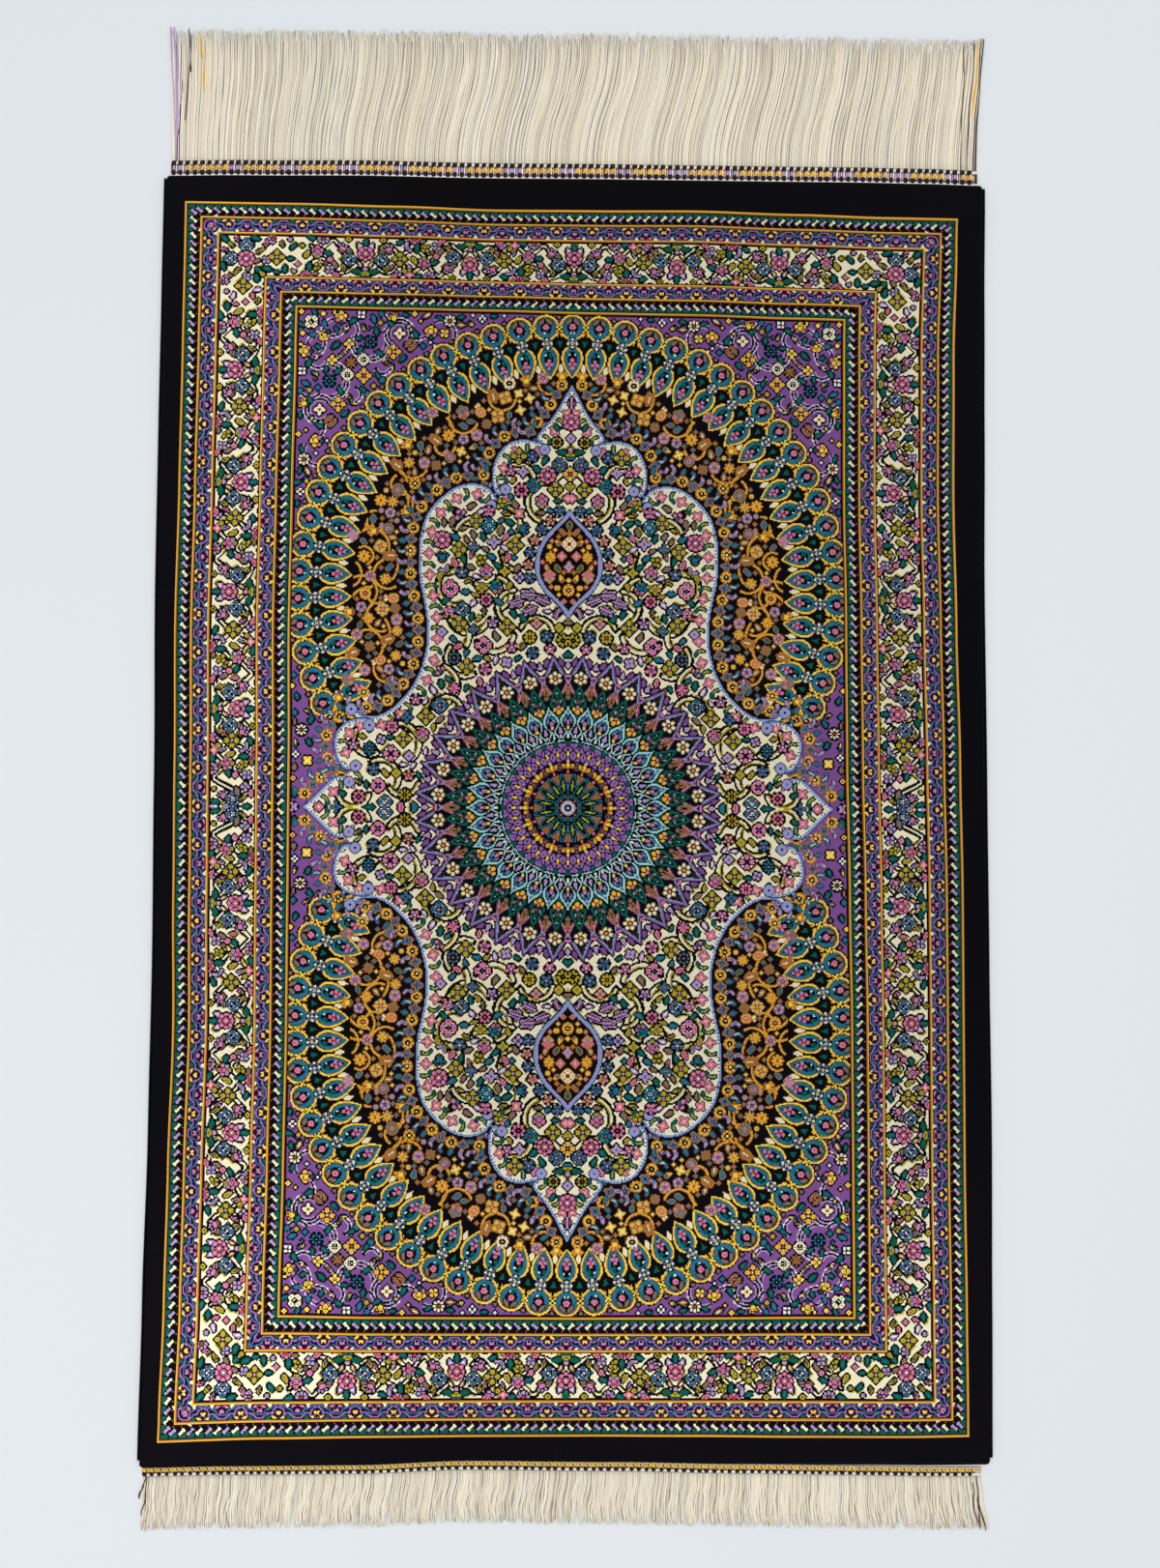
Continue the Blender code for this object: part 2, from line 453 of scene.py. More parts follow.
def round_bud(pen, rim, petal, heart):
    """A round bud with a small heart."""
    pen.disc(petal, 2.3, rim)
    pen.disc(heart, 0.8)


def speck(pen, rim, petal):
    """One round dot."""
    pen.disc(petal, 1.2, rim)


def bud(pen, rim, petal, cap):
    """A pointed bud that opens out of a small cap."""
    pen.out(-3.4).drop(petal, 4.2, 7.0, rim)
    pen.out(-2.9).disc(cap, 1.3, rim)
    pen.out(0.6).bar(rim, 0.8, 2.2)


def leaf(pen, rim, blade, vein):
    """A leaf with a short vein in another yarn."""
    pen.out(-4.6).blade(blade, 4.6, 9.2, rim)
    pen.stroke([(0.2, -2.2), (-0.2, 1.6)], 1.0, vein)


def curled(pen, rim, blade, vein):
    """A leaf whose tip curls aside."""
    pen.stroke(smooth([(0.0, -4.4), (0.9, -1.4), (0.2, 1.8), (-2.4, 3.8)]), 2.6, blade, rim)
    pen.stroke(smooth([(0.0, -3.6), (0.9, -1.2), (0.4, 1.2)]), 1.0, vein)


def fan(pen, rim, petal, heart):
    """A half flower of five petals that opens away from its foot."""
    for lean in (-76.0, 76.0, -38.0, 38.0, 0.0):
        part = pen.moved(0.0, -1.2, lean)
        part.out(3.4).oval(petal, 2.8, 4.2, rim)
    pen.out(-0.8).disc(heart, 1.4, rim)


def thistle(pen, rim, petal, tip, cap):
    """A heart-shaped flower with pale pointed tips, in a dark leafy cap."""
    pen.out(-2.8).oval(cap, 5.4, 3.0, rim)
    for lean in (-60.0, -25.0, 25.0, 60.0):
        pen.moved(0.0, -0.6, lean).blade(tip, 2.4, 6.4, rim)
    pen.oval(petal, 5.2, 4.8, rim)
    pen.out(1.6).disc(rim, 0.6)


def posy(pen, rim, petal, second, third):
    """A bunch of round petals with paler ones and a leafy foot."""
    for p, q, yarn, radius in (
        (-3.4, 1.6, petal, 1.9),
        (3.4, 1.4, petal, 1.9),
        (0.0, 4.0, petal, 1.8),
        (-2.6, -2.6, second, 1.8),
        (2.8, -2.6, second, 1.8),
        (0.0, -4.8, third, 1.7),
        (0.2, 0.2, petal, 1.9),
    ):
        part = pen.moved(p, q)
        part.disc(yarn, radius, rim)
        part.moved(0.3, 0.3).disc(rim, 0.5)


def cluster(pen, rim, petal, second):
    """Four dots close together, one of them in the second yarn."""
    for p, q, yarn in ((-1.9, 1.6, petal), (1.9, 1.9, petal), (0.0, -1.8, second), (2.6, -2.6, petal)):
        pen.moved(p, q).disc(yarn, 1.5, rim)


def lily(pen, rim, bell, cap, heart, leaf_yarn):
    """A bell between two long leaves, with a cap and a small bud above it."""
    for side in (-1, 1):
        pen.moved(side * 3.4, 0.6, side * 84.0).blade(leaf_yarn, 4.4, 9.0, rim)
        pen.moved(side * 2.2, -3.2, side * 20.0).oval(bell, 4.0, 5.2, rim)
    pen.out(-1.2).oval(cap, 8.6, 2.8, rim)
    pen.out(1.2).oval(cap, 3.4, 3.0, rim)
    pen.out(3.6).disc(heart, 1.7, rim)


def plume(pen, rim, frond, heart):
    """A feathered half leaf with a heart of another yarn."""
    for step in range(4):
        part = pen.moved(0.3 * step, 2.6 * step - 4.0, 46.0 - 8.0 * step)
        part.blade(frond, 2.8, 6.4 - 0.8 * step, rim)
        pen.moved(-0.3 * step, 2.6 * step - 4.0, -46.0 + 8.0 * step).blade(frond, 2.8, 6.4 - 0.8 * step, rim)
    pen.stroke([(0.0, -5.0), (0.0, 5.6)], 1.8, frond, rim)
    pen.stroke([(0.0, -3.0), (0.0, 2.6)], 1.0, heart)


def pomegranate(pen, rim, husk, heart, crown):
    """A round fruit with a split side and a three-pointed crown."""
    pen.moved(0.0, 4.2, -24.0).blade(crown, 2.4, 4.4, rim)
    pen.moved(0.0, 4.2, 24.0).blade(crown, 2.4, 4.4, rim)
    pen.oval(husk, 8.0, 8.8, rim)
    pen.oval(heart, 3.6, 5.0, rim)
    pen.out(-0.4).disc(husk, 0.9)


# Motifs by name, with the yarns of their parts in the order that their function takes them.
MOTIFS = {
    "pink_rosette": (rosette, "pink", "salmon", "white"),
    "slate_beaded": (beaded, "slate", "white", "salmon"),
    "teal_beaded": (beaded, "teal", "white", "rust"),
    "pink_beaded": (beaded, "pink", "white", "slate"),
    "camel_beaded": (beaded, "camel", "salmon", "rust"),
    "cream_beaded": (beaded, "cream", "white", "navy"),
    "olive_four": (quatrefoil, "olive", "lilac", "taupe"),
    "gold_four": (quatrefoil, "gold", "rust", "white"),
    "pink_four": (quatrefoil, "pink", "navy", "white"),
    "pink_daisy": (daisy, "pink", "rust"),
    "slate_daisy": (daisy, "slate", "rust"),
    "cream_daisy": (daisy, "cream", "rust"),
    "teal_daisy": (daisy, "teal", "pink"),
    "olive_daisy": (daisy, "olive", "rust"),
    "pink_round": (round_flower, "pink", "navy", "aqua"),
    "salmon_round": (round_flower, "salmon", "navy", "olive"),
    "slate_round": (round_flower, "slate", "navy", "lilac"),
    "teal_round": (round_flower, "teal", "navy", "cream"),
    "lilac_round": (round_flower, "lilac", "navy", "pink"),
    "red_heart": (round_flower, "slate", "rust", "white"),
    "gilt": (gilt_flower, "gold", "navy", "cream"),
    "cream_gilt": (gilt_flower, "cream", "brown", "gold"),
    "pink_gilt": (gilt_flower, "gold", "rust", "pink"),
    "olive_cross": (cross, "olive", "camel"),
    "pink_cross": (cross, "pink", "yellow"),
    "gold_cross": (cross, "yellow", "cream"),
    "cream_cross": (cross, "cream", "rust"),
    "salmon_cross": (cross, "salmon", "teal"),
    "lilac_cross": (cross, "lilac", "slate"),
    "slate_diamond": (diamond, "slate", "navy", "salmon"),
    "olive_diamond": (diamond, "olive", "black", "pink"),
    "gold_dots": (four_dots, "yellow", "cream"),
    "lilac_dots": (four_dots, "lilac", "slate"),
    "cream_dots": (four_dots, "white", "navy"),
    "pink_star": (star, "pink", "rust"),
    "camel_star": (star, "camel", "rust"),
    "gold_star": (star, "gold", "rust"),
    "pink_bud": (bud, "pink", "taupe"),
    "lilac_bud": (bud, "lilac", "olive"),
    "olive_bud": (bud, "olive", "taupe"),
    "gold_bud": (bud, "yellow", "teal"),
    "cream_bud": (bud, "cream", "camel"),
    "pink_spot": (round_bud, "pink", "rust"),
    "olive_spot": (round_bud, "olive", "navy"),
    "teal_spot": (round_bud, "teal", "slate"),
    "taupe_spot": (round_bud, "taupe", "brown"),
    "gold_spot": (round_bud, "yellow", "rust"),
    "lilac_spot": (round_bud, "lilac", "slate"),
    "white_speck": (speck, "white"),
    "gold_speck": (speck, "yellow"),
    "pink_speck": (speck, "pink"),
    "teal_speck": (speck, "teal"),
    "taupe_speck": (speck, "taupe"),
    "green_leaf": (leaf, "green", "teal"),
    "teal_leaf": (leaf, "teal", "slate"),
    "taupe_leaf": (leaf, "taupe", "camel"),
    "lilac_leaf": (leaf, "lilac", "white"),
    "olive_leaf": (leaf, "olive", "camel"),
    "pink_leaf": (leaf, "pink", "rust"),
    "camel_leaf": (leaf, "camel", "cream"),
    "amber_leaf": (leaf, "amber", "cream"),
    "amber_speck": (speck, "amber"),
    "lilac_curl": (curled, "lilac", "slate"),
    "slate_curl": (curled, "slate", "aqua"),
    "green_curl": (curled, "green", "olive"),
    "lilac_fan": (fan, "lilac", "rust"),
    "pink_fan": (fan, "pink", "rust"),
    "thistle": (thistle, "pink", "lilac", "taupe"),
    "gold_thistle": (thistle, "yellow", "gold", "green"),
    "teal_thistle": (thistle, "teal", "slate", "taupe"),
    "pink_posy": (posy, "pink", "lilac", "olive"),
    "gold_posy": (posy, "yellow", "pink", "green"),
    "teal_posy": (posy, "teal", "pink", "taupe"),
    "olive_cluster": (cluster, "olive", "olive"),
    "pink_cluster": (cluster, "pink", "teal"),
    "lily": (lily, "teal", "olive", "lilac", "green"),
    "lilac_plume": (plume, "lilac", "pink"),
    "camel_plume": (plume, "camel", "cream"),
    "gold_fruit": (pomegranate, "gold", "pink", "cream"),
    "teal_fruit": (pomegranate, "teal", "pink", "lilac"),
}


def draw(pen, name, rim="black"):
    """Draws a motif by its name."""
    shape, *yarns = MOTIFS[name]
    shape(pen, rim, *yarns)


def draw_all(chart, table, rim="black", scale=1.0):
    """Draws the motifs of a table, whose columns are u, v, turn, size and motif."""
    for u, v, turn, size, motif in table:
        draw(Pen(chart, u, v, turn, size * scale), motif, rim)


# ---------------------------------------------------------------------------------------------------------
# The borders
# ---------------------------------------------------------------------------------------------------------

# Where the outermost gold line lies, from the rug's middle, along each axis.
LINE_U = 347
LINE_V = 544

# The gold lines, inwards from the outermost one. The wide main border lies between the third and the fourth,
# and the last one is the edge of the field.
GOLD_LINES = (0, 14, 29, 72, 86, 100)
MAIN_FIRST, MAIN_LAST = GOLD_LINES[2], GOLD_LINES[3]
FIELD_U = LINE_U - GOLD_LINES[-1]
FIELD_V = LINE_V - GOLD_LINES[-1]

# Barber stripes: how far in their middle is, which way the bars lean, and which side of them is green.
STRIPES = (
    # middle, lean, green side
    (7.0, 1, 1),
    (93.0, -1, -1),
)
STRIPE_PITCH = 7.7
STRIPE_HALF = 6.0
BAR_SLOPE = math.radians(42)
BAR_LENGTH = 6.6
BAR_WIDTH = 1.9

# A bar is wider beyond this distance from its middle.
BAR_WAIST = 2.1
BAR_END_WIDTH = 3.0

# Guard borders: how far in their middle is, which way the lilac line lies from the blue one, how often the
# wave repeats from the middle of an end, and of a side, and how far before the corner its last flower is.
GUARDS = (
    # middle, outwards, repeats, last flower
    (21.5, 1, {"end": 10, "side": 15.5}, 0.0),
    (79.0, -1, {"end": 8, "side": 13.5}, 12.0),
)
GUARD_HALF = 6.5

# The guard's two lines, from over a pink flower to under the next yellow one, as if they were this far apart.
GUARD_STEP = 16.4
GUARD_WAVE = {
    "slate": (
        # along, out
        (0.0, 2.2),
        (2.8, 2.1),
        (4.7, 0.6),
        (5.0, -1.2),
        (6.6, -2.4),
        (8.8, -2.7),
        (10.6, -3.8),
        (12.6, -5.4),
        (16.4, -5.8),
    ),
    "orchid": (
        # along, out
        (0.0, 4.8),
        (3.2, 4.6),
        (5.6, 2.4),
        (7.4, 1.0),
        (11.4, 0.7),
        (11.8, -1.2),
        (13.4, -3.0),
        (15.2, -3.9),
        (16.4, -4.0),
    ),
}
GUARD_SPUR = ((11.6, 0.8), (10.7, 2.8))

# The same lines' last runs into the corner, as (along from the corner, out), for a guard whose lilac line
# lies outwards and for one whose lilac line lies inwards.
CORNER_OUTWARDS = {
    "slate": (
        (-16.4, -5.8),
        (-12.6, -5.4),
        (-10.6, -3.8),
        (-8.8, -2.7),
        (-6.6, -2.0),
        (-4.6, 0.4),
        (0.0, 2.2),
        (1.0, 1.0),
    ),
    "orchid": (
        (-16.4, -4.0),
        (-13.4, -3.0),
        (-11.8, -1.2),
        (-11.4, 0.7),
        (-8.0, 1.0),
        (-4.6, 4.4),
        (0.0, 5.2),
        (3.8, 3.8),
    ),
}
CORNER_INWARDS = {
    "slate": ((-12.0, 2.2), (-9.2, 2.1), (-7.3, 0.6), (-7.0, -1.2), (-4.6, -2.6), (0.0, -3.6), (4.4, -4.4)),
    "orchid": ((-12.0, 4.8), (-8.8, 4.6), (-6.4, 2.4), (-4.6, 1.0), (-0.8, 0.8), (2.6, -2.6)),
}

# A guard's flower, on the guard's middle line and heading away from its foot: across, along and lean of the
# petals of its heart and of those at its foot, on both sides, and the outlines of the wedges beside it.
GUARD_HEART = (1.1, -0.6, 24)
GUARD_PETAL = (3.9, -4.4, 57)
GUARD_WEDGES = {
    "cream": ((6.4, -6.6), (8.2, -3.6), (9.4, -4.0), (10.8, -6.6)),
    "green": ((6.4, -6.6), (7.4, -2.9), (9.8, -2.9), (11.0, -6.6)),
}


def border_frame():
    """For every knot, how far in from the outermost gold line it is, how far along, and whether by an end."""
    rows, columns = knot_places()
    from_side = LINE_U - (columns + 0.5)
    from_end = LINE_V - (rows + 0.5)
    by_end = from_end < from_side
    return np.where(by_end, from_end, from_side), np.where(by_end, columns + 0.5, rows + 0.5), by_end


def edge_pen(chart, edge, along, inward, size=1.0):
    """A pen in a border that heads out of the rug, so that both edges mirror each other about the corner."""
    if edge == "end":
        return Pen(chart, along, LINE_V - inward, 0.0, size)
    return Pen(chart, LINE_U - inward, along, 90.0, size, flip=-1)


def knot_stripe(chart, frame_of, middle, lean, green_side):
    """A barber stripe: slanted bars with wider ends, cream and lilac in turn, and green wedges by them."""
    inward, along, _ = frame_of
    out = middle - inward
    band = np.abs(out) < STRIPE_HALF
    turn = np.floor(along / STRIPE_PITCH)
    place = along - (turn + 0.5) * STRIPE_PITCH
    up_bar = place * math.cos(BAR_SLOPE) + lean * out * math.sin(BAR_SLOPE)
    over_bar = out * math.cos(BAR_SLOPE) - lean * place * math.sin(BAR_SLOPE)
    half_width = np.where(np.abs(up_bar) > BAR_WAIST, BAR_END_WIDTH / 2, BAR_WIDTH / 2)
    bars = band & (np.abs(up_bar) < BAR_LENGTH / 2) & (np.abs(over_bar) < half_width)
    towards = out * green_side
    green = band & (towards > 0.9) & (towards < 4.8) & (np.abs(over_bar) > BAR_END_WIDTH / 2)
    knots = chart.knots
    knots[band] = YARN["black"]
    knots[green] = YARN["green"]
    knots[band & (np.abs(towards + 4.5) < 0.5) & (np.abs(place) < 0.5)] = YARN["camel"]
    knots[grown(bars) & band] = YARN["black"]
    knots[bars & (turn % 2 == 0)] = YARN["cream"]
    knots[bars & (turn % 2 == 1)] = YARN["lilac"]


def guard_pen(chart, edge, along, middle, outwards):
    """A pen on a guard's middle line that heads towards the side of its lilac line."""
    pen = edge_pen(chart, edge, along, middle)
    return pen if outwards > 0 else pen.moved(lean=180.0)


def knot_guard(chart, frame_of, middle, outwards, repeats, last_flower):
    """A guard border: a lilac and a blue line side by side, winding between pink and yellow flowers."""
    chart.knots[np.abs(middle - frame_of[0]) < GUARD_HALF] = YARN["navy"]
    corner_lines = CORNER_OUTWARDS if outwards > 0 else CORNER_INWARDS
    for edge, count in repeats.items():
        corner = (LINE_U if edge == "end" else LINE_V) - middle
        steps = int(2 * count)
        half = (corner - last_flower) / steps
        last_run = steps if last_flower else steps - 1
        for number in range(steps + 1):
            pink = (number + steps) % 2 == 0
            guard_flower(guard_pen(chart, edge, number * half, middle, outwards), pink)
            for yarn, wave in GUARD_WAVE.items():
                if number == last_run:
                    pen = guard_pen(chart, edge, corner, middle, outwards)
                    guard_line(pen, corner_lines[yarn], outwards, yarn)
                elif number < steps:
                    start, way = (number, 1) if pink else (number + 1, -1)
                    pen = guard_pen(chart, edge, start * half, middle, outwards)
                    scale = way * half / GUARD_STEP
                    guard_line(pen, [(scale * along, out) for along, out in wave], outwards, yarn)
                    spur = [(scale * along, out) for along, out in GUARD_SPUR]
                    guard_line(pen, spur, outwards, "orchid")


def guard_line(pen, points, outwards, yarn):
    """One of a guard's lines, with its points along the edge whichever way the pen heads."""
    pen.stroke([(outwards * along, out) for along, out in points], 1.3, yarn)


def guard_flower(pen, pink):
    """A guard's flower: a heart of two petals, two more at its foot, and a wedge on both sides."""
    pen = pen if pink else pen.moved(lean=180.0)
    petal, wedge = ("pink", "cream") if pink else ("yellow", "green")
    for side in (-1, 1):
        p, q, lean = GUARD_HEART
        pen.moved(side * p, q, side * lean).oval(petal, 1.9, 3.4)
    for side in (-1, 1):
        p, q, lean = GUARD_PETAL
        pen.moved(side * p, q, side * lean).oval(petal, 2.0, 4.0)
        pen.shape([(side * p, q) for p, q in GUARD_WEDGES[wedge]], wedge)
        pen.moved(side * 2.0, -2.6).disc("taupe", 0.5)
        pen.moved(side * 1.4, -5.0).disc("orchid", 0.5)


def knot_line(chart, frame_of, inward_line):
    """A gold line, two knots wide, whose inner knots are darker."""
    inward = frame_of[0]
    chart.knots[(inward > inward_line - 1) & (inward < inward_line + 1)] = YARN["gold"]
    chart.knots[(inward > inward_line) & (inward < inward_line + 1)] = YARN["amber"]


# The border's leaves and buds, which are listed below the full size, are drawn this much larger.
BORDER_SCALE = 1.16
FULL_SIZE = 0.9

# One group of the main border, about its own middle line. Inward is from the outermost gold line. Every row
# but those at 0 shows on both sides of the line.
GROUP = (
    # along, inward, turn, size, motif
    (0.0, 35.0, 0, 0.80, "green_leaf"),
    (5.2, 39.5, 28, 0.80, "lilac_leaf"),
    (15.5, 33.0, 0, 0.90, "olive_spot"),
    (15.0, 44.5, 40, 0.70, "taupe_leaf"),
    (20.5, 42.0, -30, 0.85, "thistle"),
    (19.5, 60.5, 12, 0.85, "olive_bud"),
    (18.6, 54.5, 70, 0.65, "taupe_leaf"),
    (5.0, 57.0, 30, 0.60, "camel_leaf"),
    (14.3, 52.8, 0, 0.95, "slate_beaded"),
    (0.0, 46.6, 0, 1.00, "pink_rosette"),
    (0.0, 65.4, 0, 1.00, "lily"),
    (26.0, 68.3, 58, 0.75, "pink_leaf"),
)

# What lies between one group and the next, as if the groups were this far apart. After the last group only
# what lies before the corner shows, and the side's middle has its own flowers in place of the first ones.
GROUP_STEP = 98.0
BEFORE_CORNER = 54
PAST_SIDE_MIDDLE = 30
BETWEEN = (
    # along, inward, turn, size, motif
    (27.6, 58.0, 24, 0.75, "taupe_leaf"),
    (31.4, 63.2, 45, 1.00, "lilac_dots"),
    (31.6, 53.4, 0, 0.85, "pink_spot"),
    (35.6, 57.0, 0, 0.60, "taupe_spot"),
    (34.0, 46.8, 62, 0.80, "green_leaf"),
    (38.0, 33.6, 180, 0.85, "lilac_fan"),
    (42.0, 60.4, 0, 0.95, "olive_cluster"),
    (43.0, 46.0, 0, 1.00, "pink_posy"),
    (48.8, 32.6, 75, 0.75, "green_leaf"),
    (52.4, 48.6, -28, 0.80, "olive_leaf"),
    (50.0, 60.6, 0, 0.85, "green_leaf"),
    (52.4, 69.0, 0, 0.85, "pink_fan"),
    (56.2, 34.4, 0, 0.80, "pink_cross"),
    (57.0, 41.4, 175, 0.80, "lilac_bud"),
    (61.0, 37.8, 0, 0.75, "olive_spot"),
    (58.8, 61.6, 140, 0.90, "lilac_curl"),
    (68.6, 34.4, 0, 0.95, "lilac_dots"),
    (72.8, 42.4, 215, 0.80, "pink_bud"),
    (66.0, 65.8, 60, 0.90, "green_leaf"),
    (45.0, 67.6, 90, 0.55, "taupe_leaf"),
    (66.0, 49.8, 0, 1.00, "olive_four"),
)

# Where the groups are along each edge, from its middle. The side's middle has a closer pair of its own.
GROUPS = {
    "end": (0.0, 93.5, 187.0),
    "side": (0.0, 85.5, 188.5, 286.0, 386.0),
}

# The middle of a side, along and inward as above, and mirrored.
SIDE_MIDDLE = (
    # along, inward, turn, size, motif
    (0.0, 34.6, 0, 0.75, "lilac_leaf"),
    (4.2, 35.4, 8, 0.80, "green_leaf"),
    (0.0, 40.6, 0, 0.90, "white_speck"),
    (0.0, 45.0, 0, 0.85, "lilac_spot"),
    (9.4, 43.0, 70, 0.90, "thistle"),
    (7.2, 51.4, 0, 1.00, "slate_beaded"),
    (0.0, 51.6, 0, 0.80, "slate_round"),
    (0.0, 63.4, 180, 0.95, "green_leaf"),
    (7.2, 60.0, 150, 0.80, "olive_bud"),
    (13.4, 55.0, 70, 0.80, "taupe_leaf"),
    (17.2, 62.2, 0, 0.95, "lilac_dots"),
    (12.0, 67.2, 90, 0.70, "pink_leaf"),
)

# The corner. Every row but those on the diagonal also shows on the other side of it.
CORNER = (
    # inward from side, inward from end, turn, size, motif
    (34.4, 34.4, 45, 0.80, "green_leaf"),
    (40.0, 40.0, 45, 0.90, "olive_bud"),
    (45.5, 34.2, 20, 0.75, "pink_bud"),
    (40.5, 54.0, 0, 1.00, "slate_beaded"),
    (33.6, 61.6, 20, 0.85, "green_leaf"),
    (46.0, 66.6, 150, 0.85, "olive_bud"),
    (64.8, 64.8, 45, 0.95, "green_leaf"),
    (68.6, 68.6, 45, 0.60, "olive_leaf"),
    (54.6, 71.8, 45, 0.90, "lilac_dots"),
    (63.0, 56.2, 120, 0.70, "taupe_leaf"),
    (38.4, 71.4, 100, 0.85, "pink_bud"),
    (34.0, 76.8, 0, 0.85, "lilac_fan"),
    (63.4, 72.6, 20, 0.85, "green_leaf"),
    (54.0, 54.0, 0, 1.00, "pink_rosette"),
    (52.0, 81.0, 0, 1.00, "olive_four"),
)


def border_motif(chart, edge, along, inward, turn, size, motif, mirrored=False):
    """One motif of the main border, on the chart's edge, turned with it."""
    pen = edge_pen(chart, edge, along, inward)
    size *= BORDER_SCALE if size < FULL_SIZE else 1.0
    draw(pen.moved(lean=-turn if mirrored else turn, size=size), motif, "black")


def knot_main_border(chart, frame_of):
    """The wide cream border: its groups, which face in and out in turn, and the sprays between them."""
    inward = frame_of[0]
    chart.knots[(inward > MAIN_FIRST) & (inward < MAIN_LAST)] = YARN["ivory"]
    for edge, places in GROUPS.items():
        ends = list(zip(places, places[1:])) + [(places[-1], places[-1] + GROUP_STEP)]
        for number, (here, there) in enumerate(ends):
            share = (there - here) / GROUP_STEP
            turned = number % 2 == 1
            last_one = number == len(ends) - 1
            border_stems(chart, edge, here, there, turned, CORNER_STEMS if last_one else 1.0)
            for along, depth, turn, size, motif in BETWEEN:
                if last_one and along > BEFORE_CORNER:
                    continue
                if number == 0 and edge == "side" and along < PAST_SIDE_MIDDLE:
                    continue
                if turned:
                    depth, turn = MAIN_FIRST + MAIN_LAST - depth, 180 - turn
                border_motif(chart, edge, here + along * share, depth, turn, size, motif)
        for number, here in enumerate(places):
            if number == 0 and edge == "side":
                continue
            for along, depth, turn, size, motif in GROUP:
                if number % 2 == 1:
                    depth, turn = MAIN_FIRST + MAIN_LAST - depth, 180 - turn
                border_motif(chart, edge, here + along, depth, turn, size, motif)
                if along:
                    border_motif(chart, edge, here - along, depth, turn, size, motif, mirrored=True)
    for along, depth, turn, size, motif in SIDE_MIDDLE:
        border_motif(chart, "side", along, depth, turn, size, motif)
    for from_side, from_end, turn, size, motif in CORNER:
        border_motif(chart, "end", LINE_U - from_side, from_end, turn, size, motif)
        if from_side != from_end:
            border_motif(chart, "side", LINE_V - from_side, from_end, turn, size, motif)


# The stems that wind from one group to the next, as (share of the way, inward). They stop before a corner.
CORNER_STEMS = 0.54
STEMS = (
    (
        (0.06, 56),
        (0.16, 64),
        (0.27, 66),
        (0.33, 58),
        (0.40, 52),
        (0.47, 56),
        (0.53, 64),
        (0.60, 58),
        (0.67, 50),
    ),
    (
        (0.18, 50),
        (0.24, 40),
        (0.30, 34),
        (0.37, 40),
        (0.43, 46),
        (0.50, 40),
        (0.56, 36),
        (0.63, 42),
        (0.67, 49),
    ),
    ((0.67, 50), (0.72, 58), (0.79, 64), (0.86, 60)),
    ((0.67, 49), (0.73, 40), (0.80, 36), (0.88, 40)),
)


def border_stems(chart, edge, here, there, turned, last_share):
    """The stems between two groups, up to a share of the way, pale between two dark edges."""
    stem = Pen(chart, 0.0, 0.0)
    for path in STEMS:
        points = []
        for share, depth in path:
            if share > last_share:
                continue
            if turned:
                depth = MAIN_FIRST + MAIN_LAST - depth
            along = here + share * (there - here)
            if edge == "end":
                points.append((along, LINE_V - depth))
            else:
                points.append((LINE_U - depth, along))
        stem.stroke(smooth(points), 4.4, "black")
        stem.stroke(smooth(points), 2.8, "ivory")


def knot_borders(chart):
    """All the borders, from the plain black edge to the field."""
    frame_of = border_frame()
    knot_main_border(chart, frame_of)
    for line in GOLD_LINES:
        chart.knots[np.abs(frame_of[0] - line) < 2] = YARN["black"]
    for stripe in STRIPES:
        knot_stripe(chart, frame_of, *stripe)
    for guard in GUARDS:
        knot_guard(chart, frame_of, *guard)
    for line in GOLD_LINES:
        knot_line(chart, frame_of, line)


# ---------------------------------------------------------------------------------------------------------
# The field: purple corners, the ring of lobes, the black ground inside it and the cream medallion
# ---------------------------------------------------------------------------------------------------------

# The ring of lobes: its middle on the rug's long axis, its radius, the degrees from one lobe to the next,
# the number of its last lobe, the row its ground starts from, and how far in from it its petals reach.
RING_V = 192.0
RING_RADIUS = 239.0
RING_STEP = 5.75
RING_LAST = 20
RING_FIRST_ROW = 60
PETAL_REACH = 48

# The medallion's edge, from its tip on the long axis to its tip on the short axis, as runs between its curls.
MEDALLION_STEPS = 6
MEDALLION_RUNS = (
    ((0, 377), (6, 366), (13, 353), (20, 343), (25, 337), (29, 330), (25, 324)),
    ((25, 324), (34, 326), (43, 327), (54, 324), (63, 315), (67.5, 304), (68.5, 290), (65, 280), (59, 280)),
    (
        (66, 274),
        (73, 283),
        (82, 286.5),
        (92, 286.5),
        (103, 282.5),
        (114, 274),
        (123, 264),
        (128, 254),
        (131, 243),
    ),
    ((131, 243), (132.5, 229), (131.5, 204), (128.5, 189), (125, 171), (124, 154), (125, 139), (129, 123)),
    ((129, 123), (136, 108), (146, 95), (158, 84.5), (171, 79), (183, 80), (190, 86)),
    ((178, 77), (185, 77), (194, 74.5), (203, 67), (206, 56), (204, 44), (198, 35), (190, 33)),
    ((198, 26), (206, 25), (214, 18), (224, 8), (233, 0)),
)
CURLS = (
    # u, v, radius
    (23.0, 319.5, 4.6),
    (57.5, 283.0, 4.6),
    (70.0, 268.5, 4.6),
    (192.0, 86.0, 4.8),
    (176.0, 72.0, 4.8),
    (188.0, 36.0, 4.6),
    (193.5, 22.0, 4.6),
)

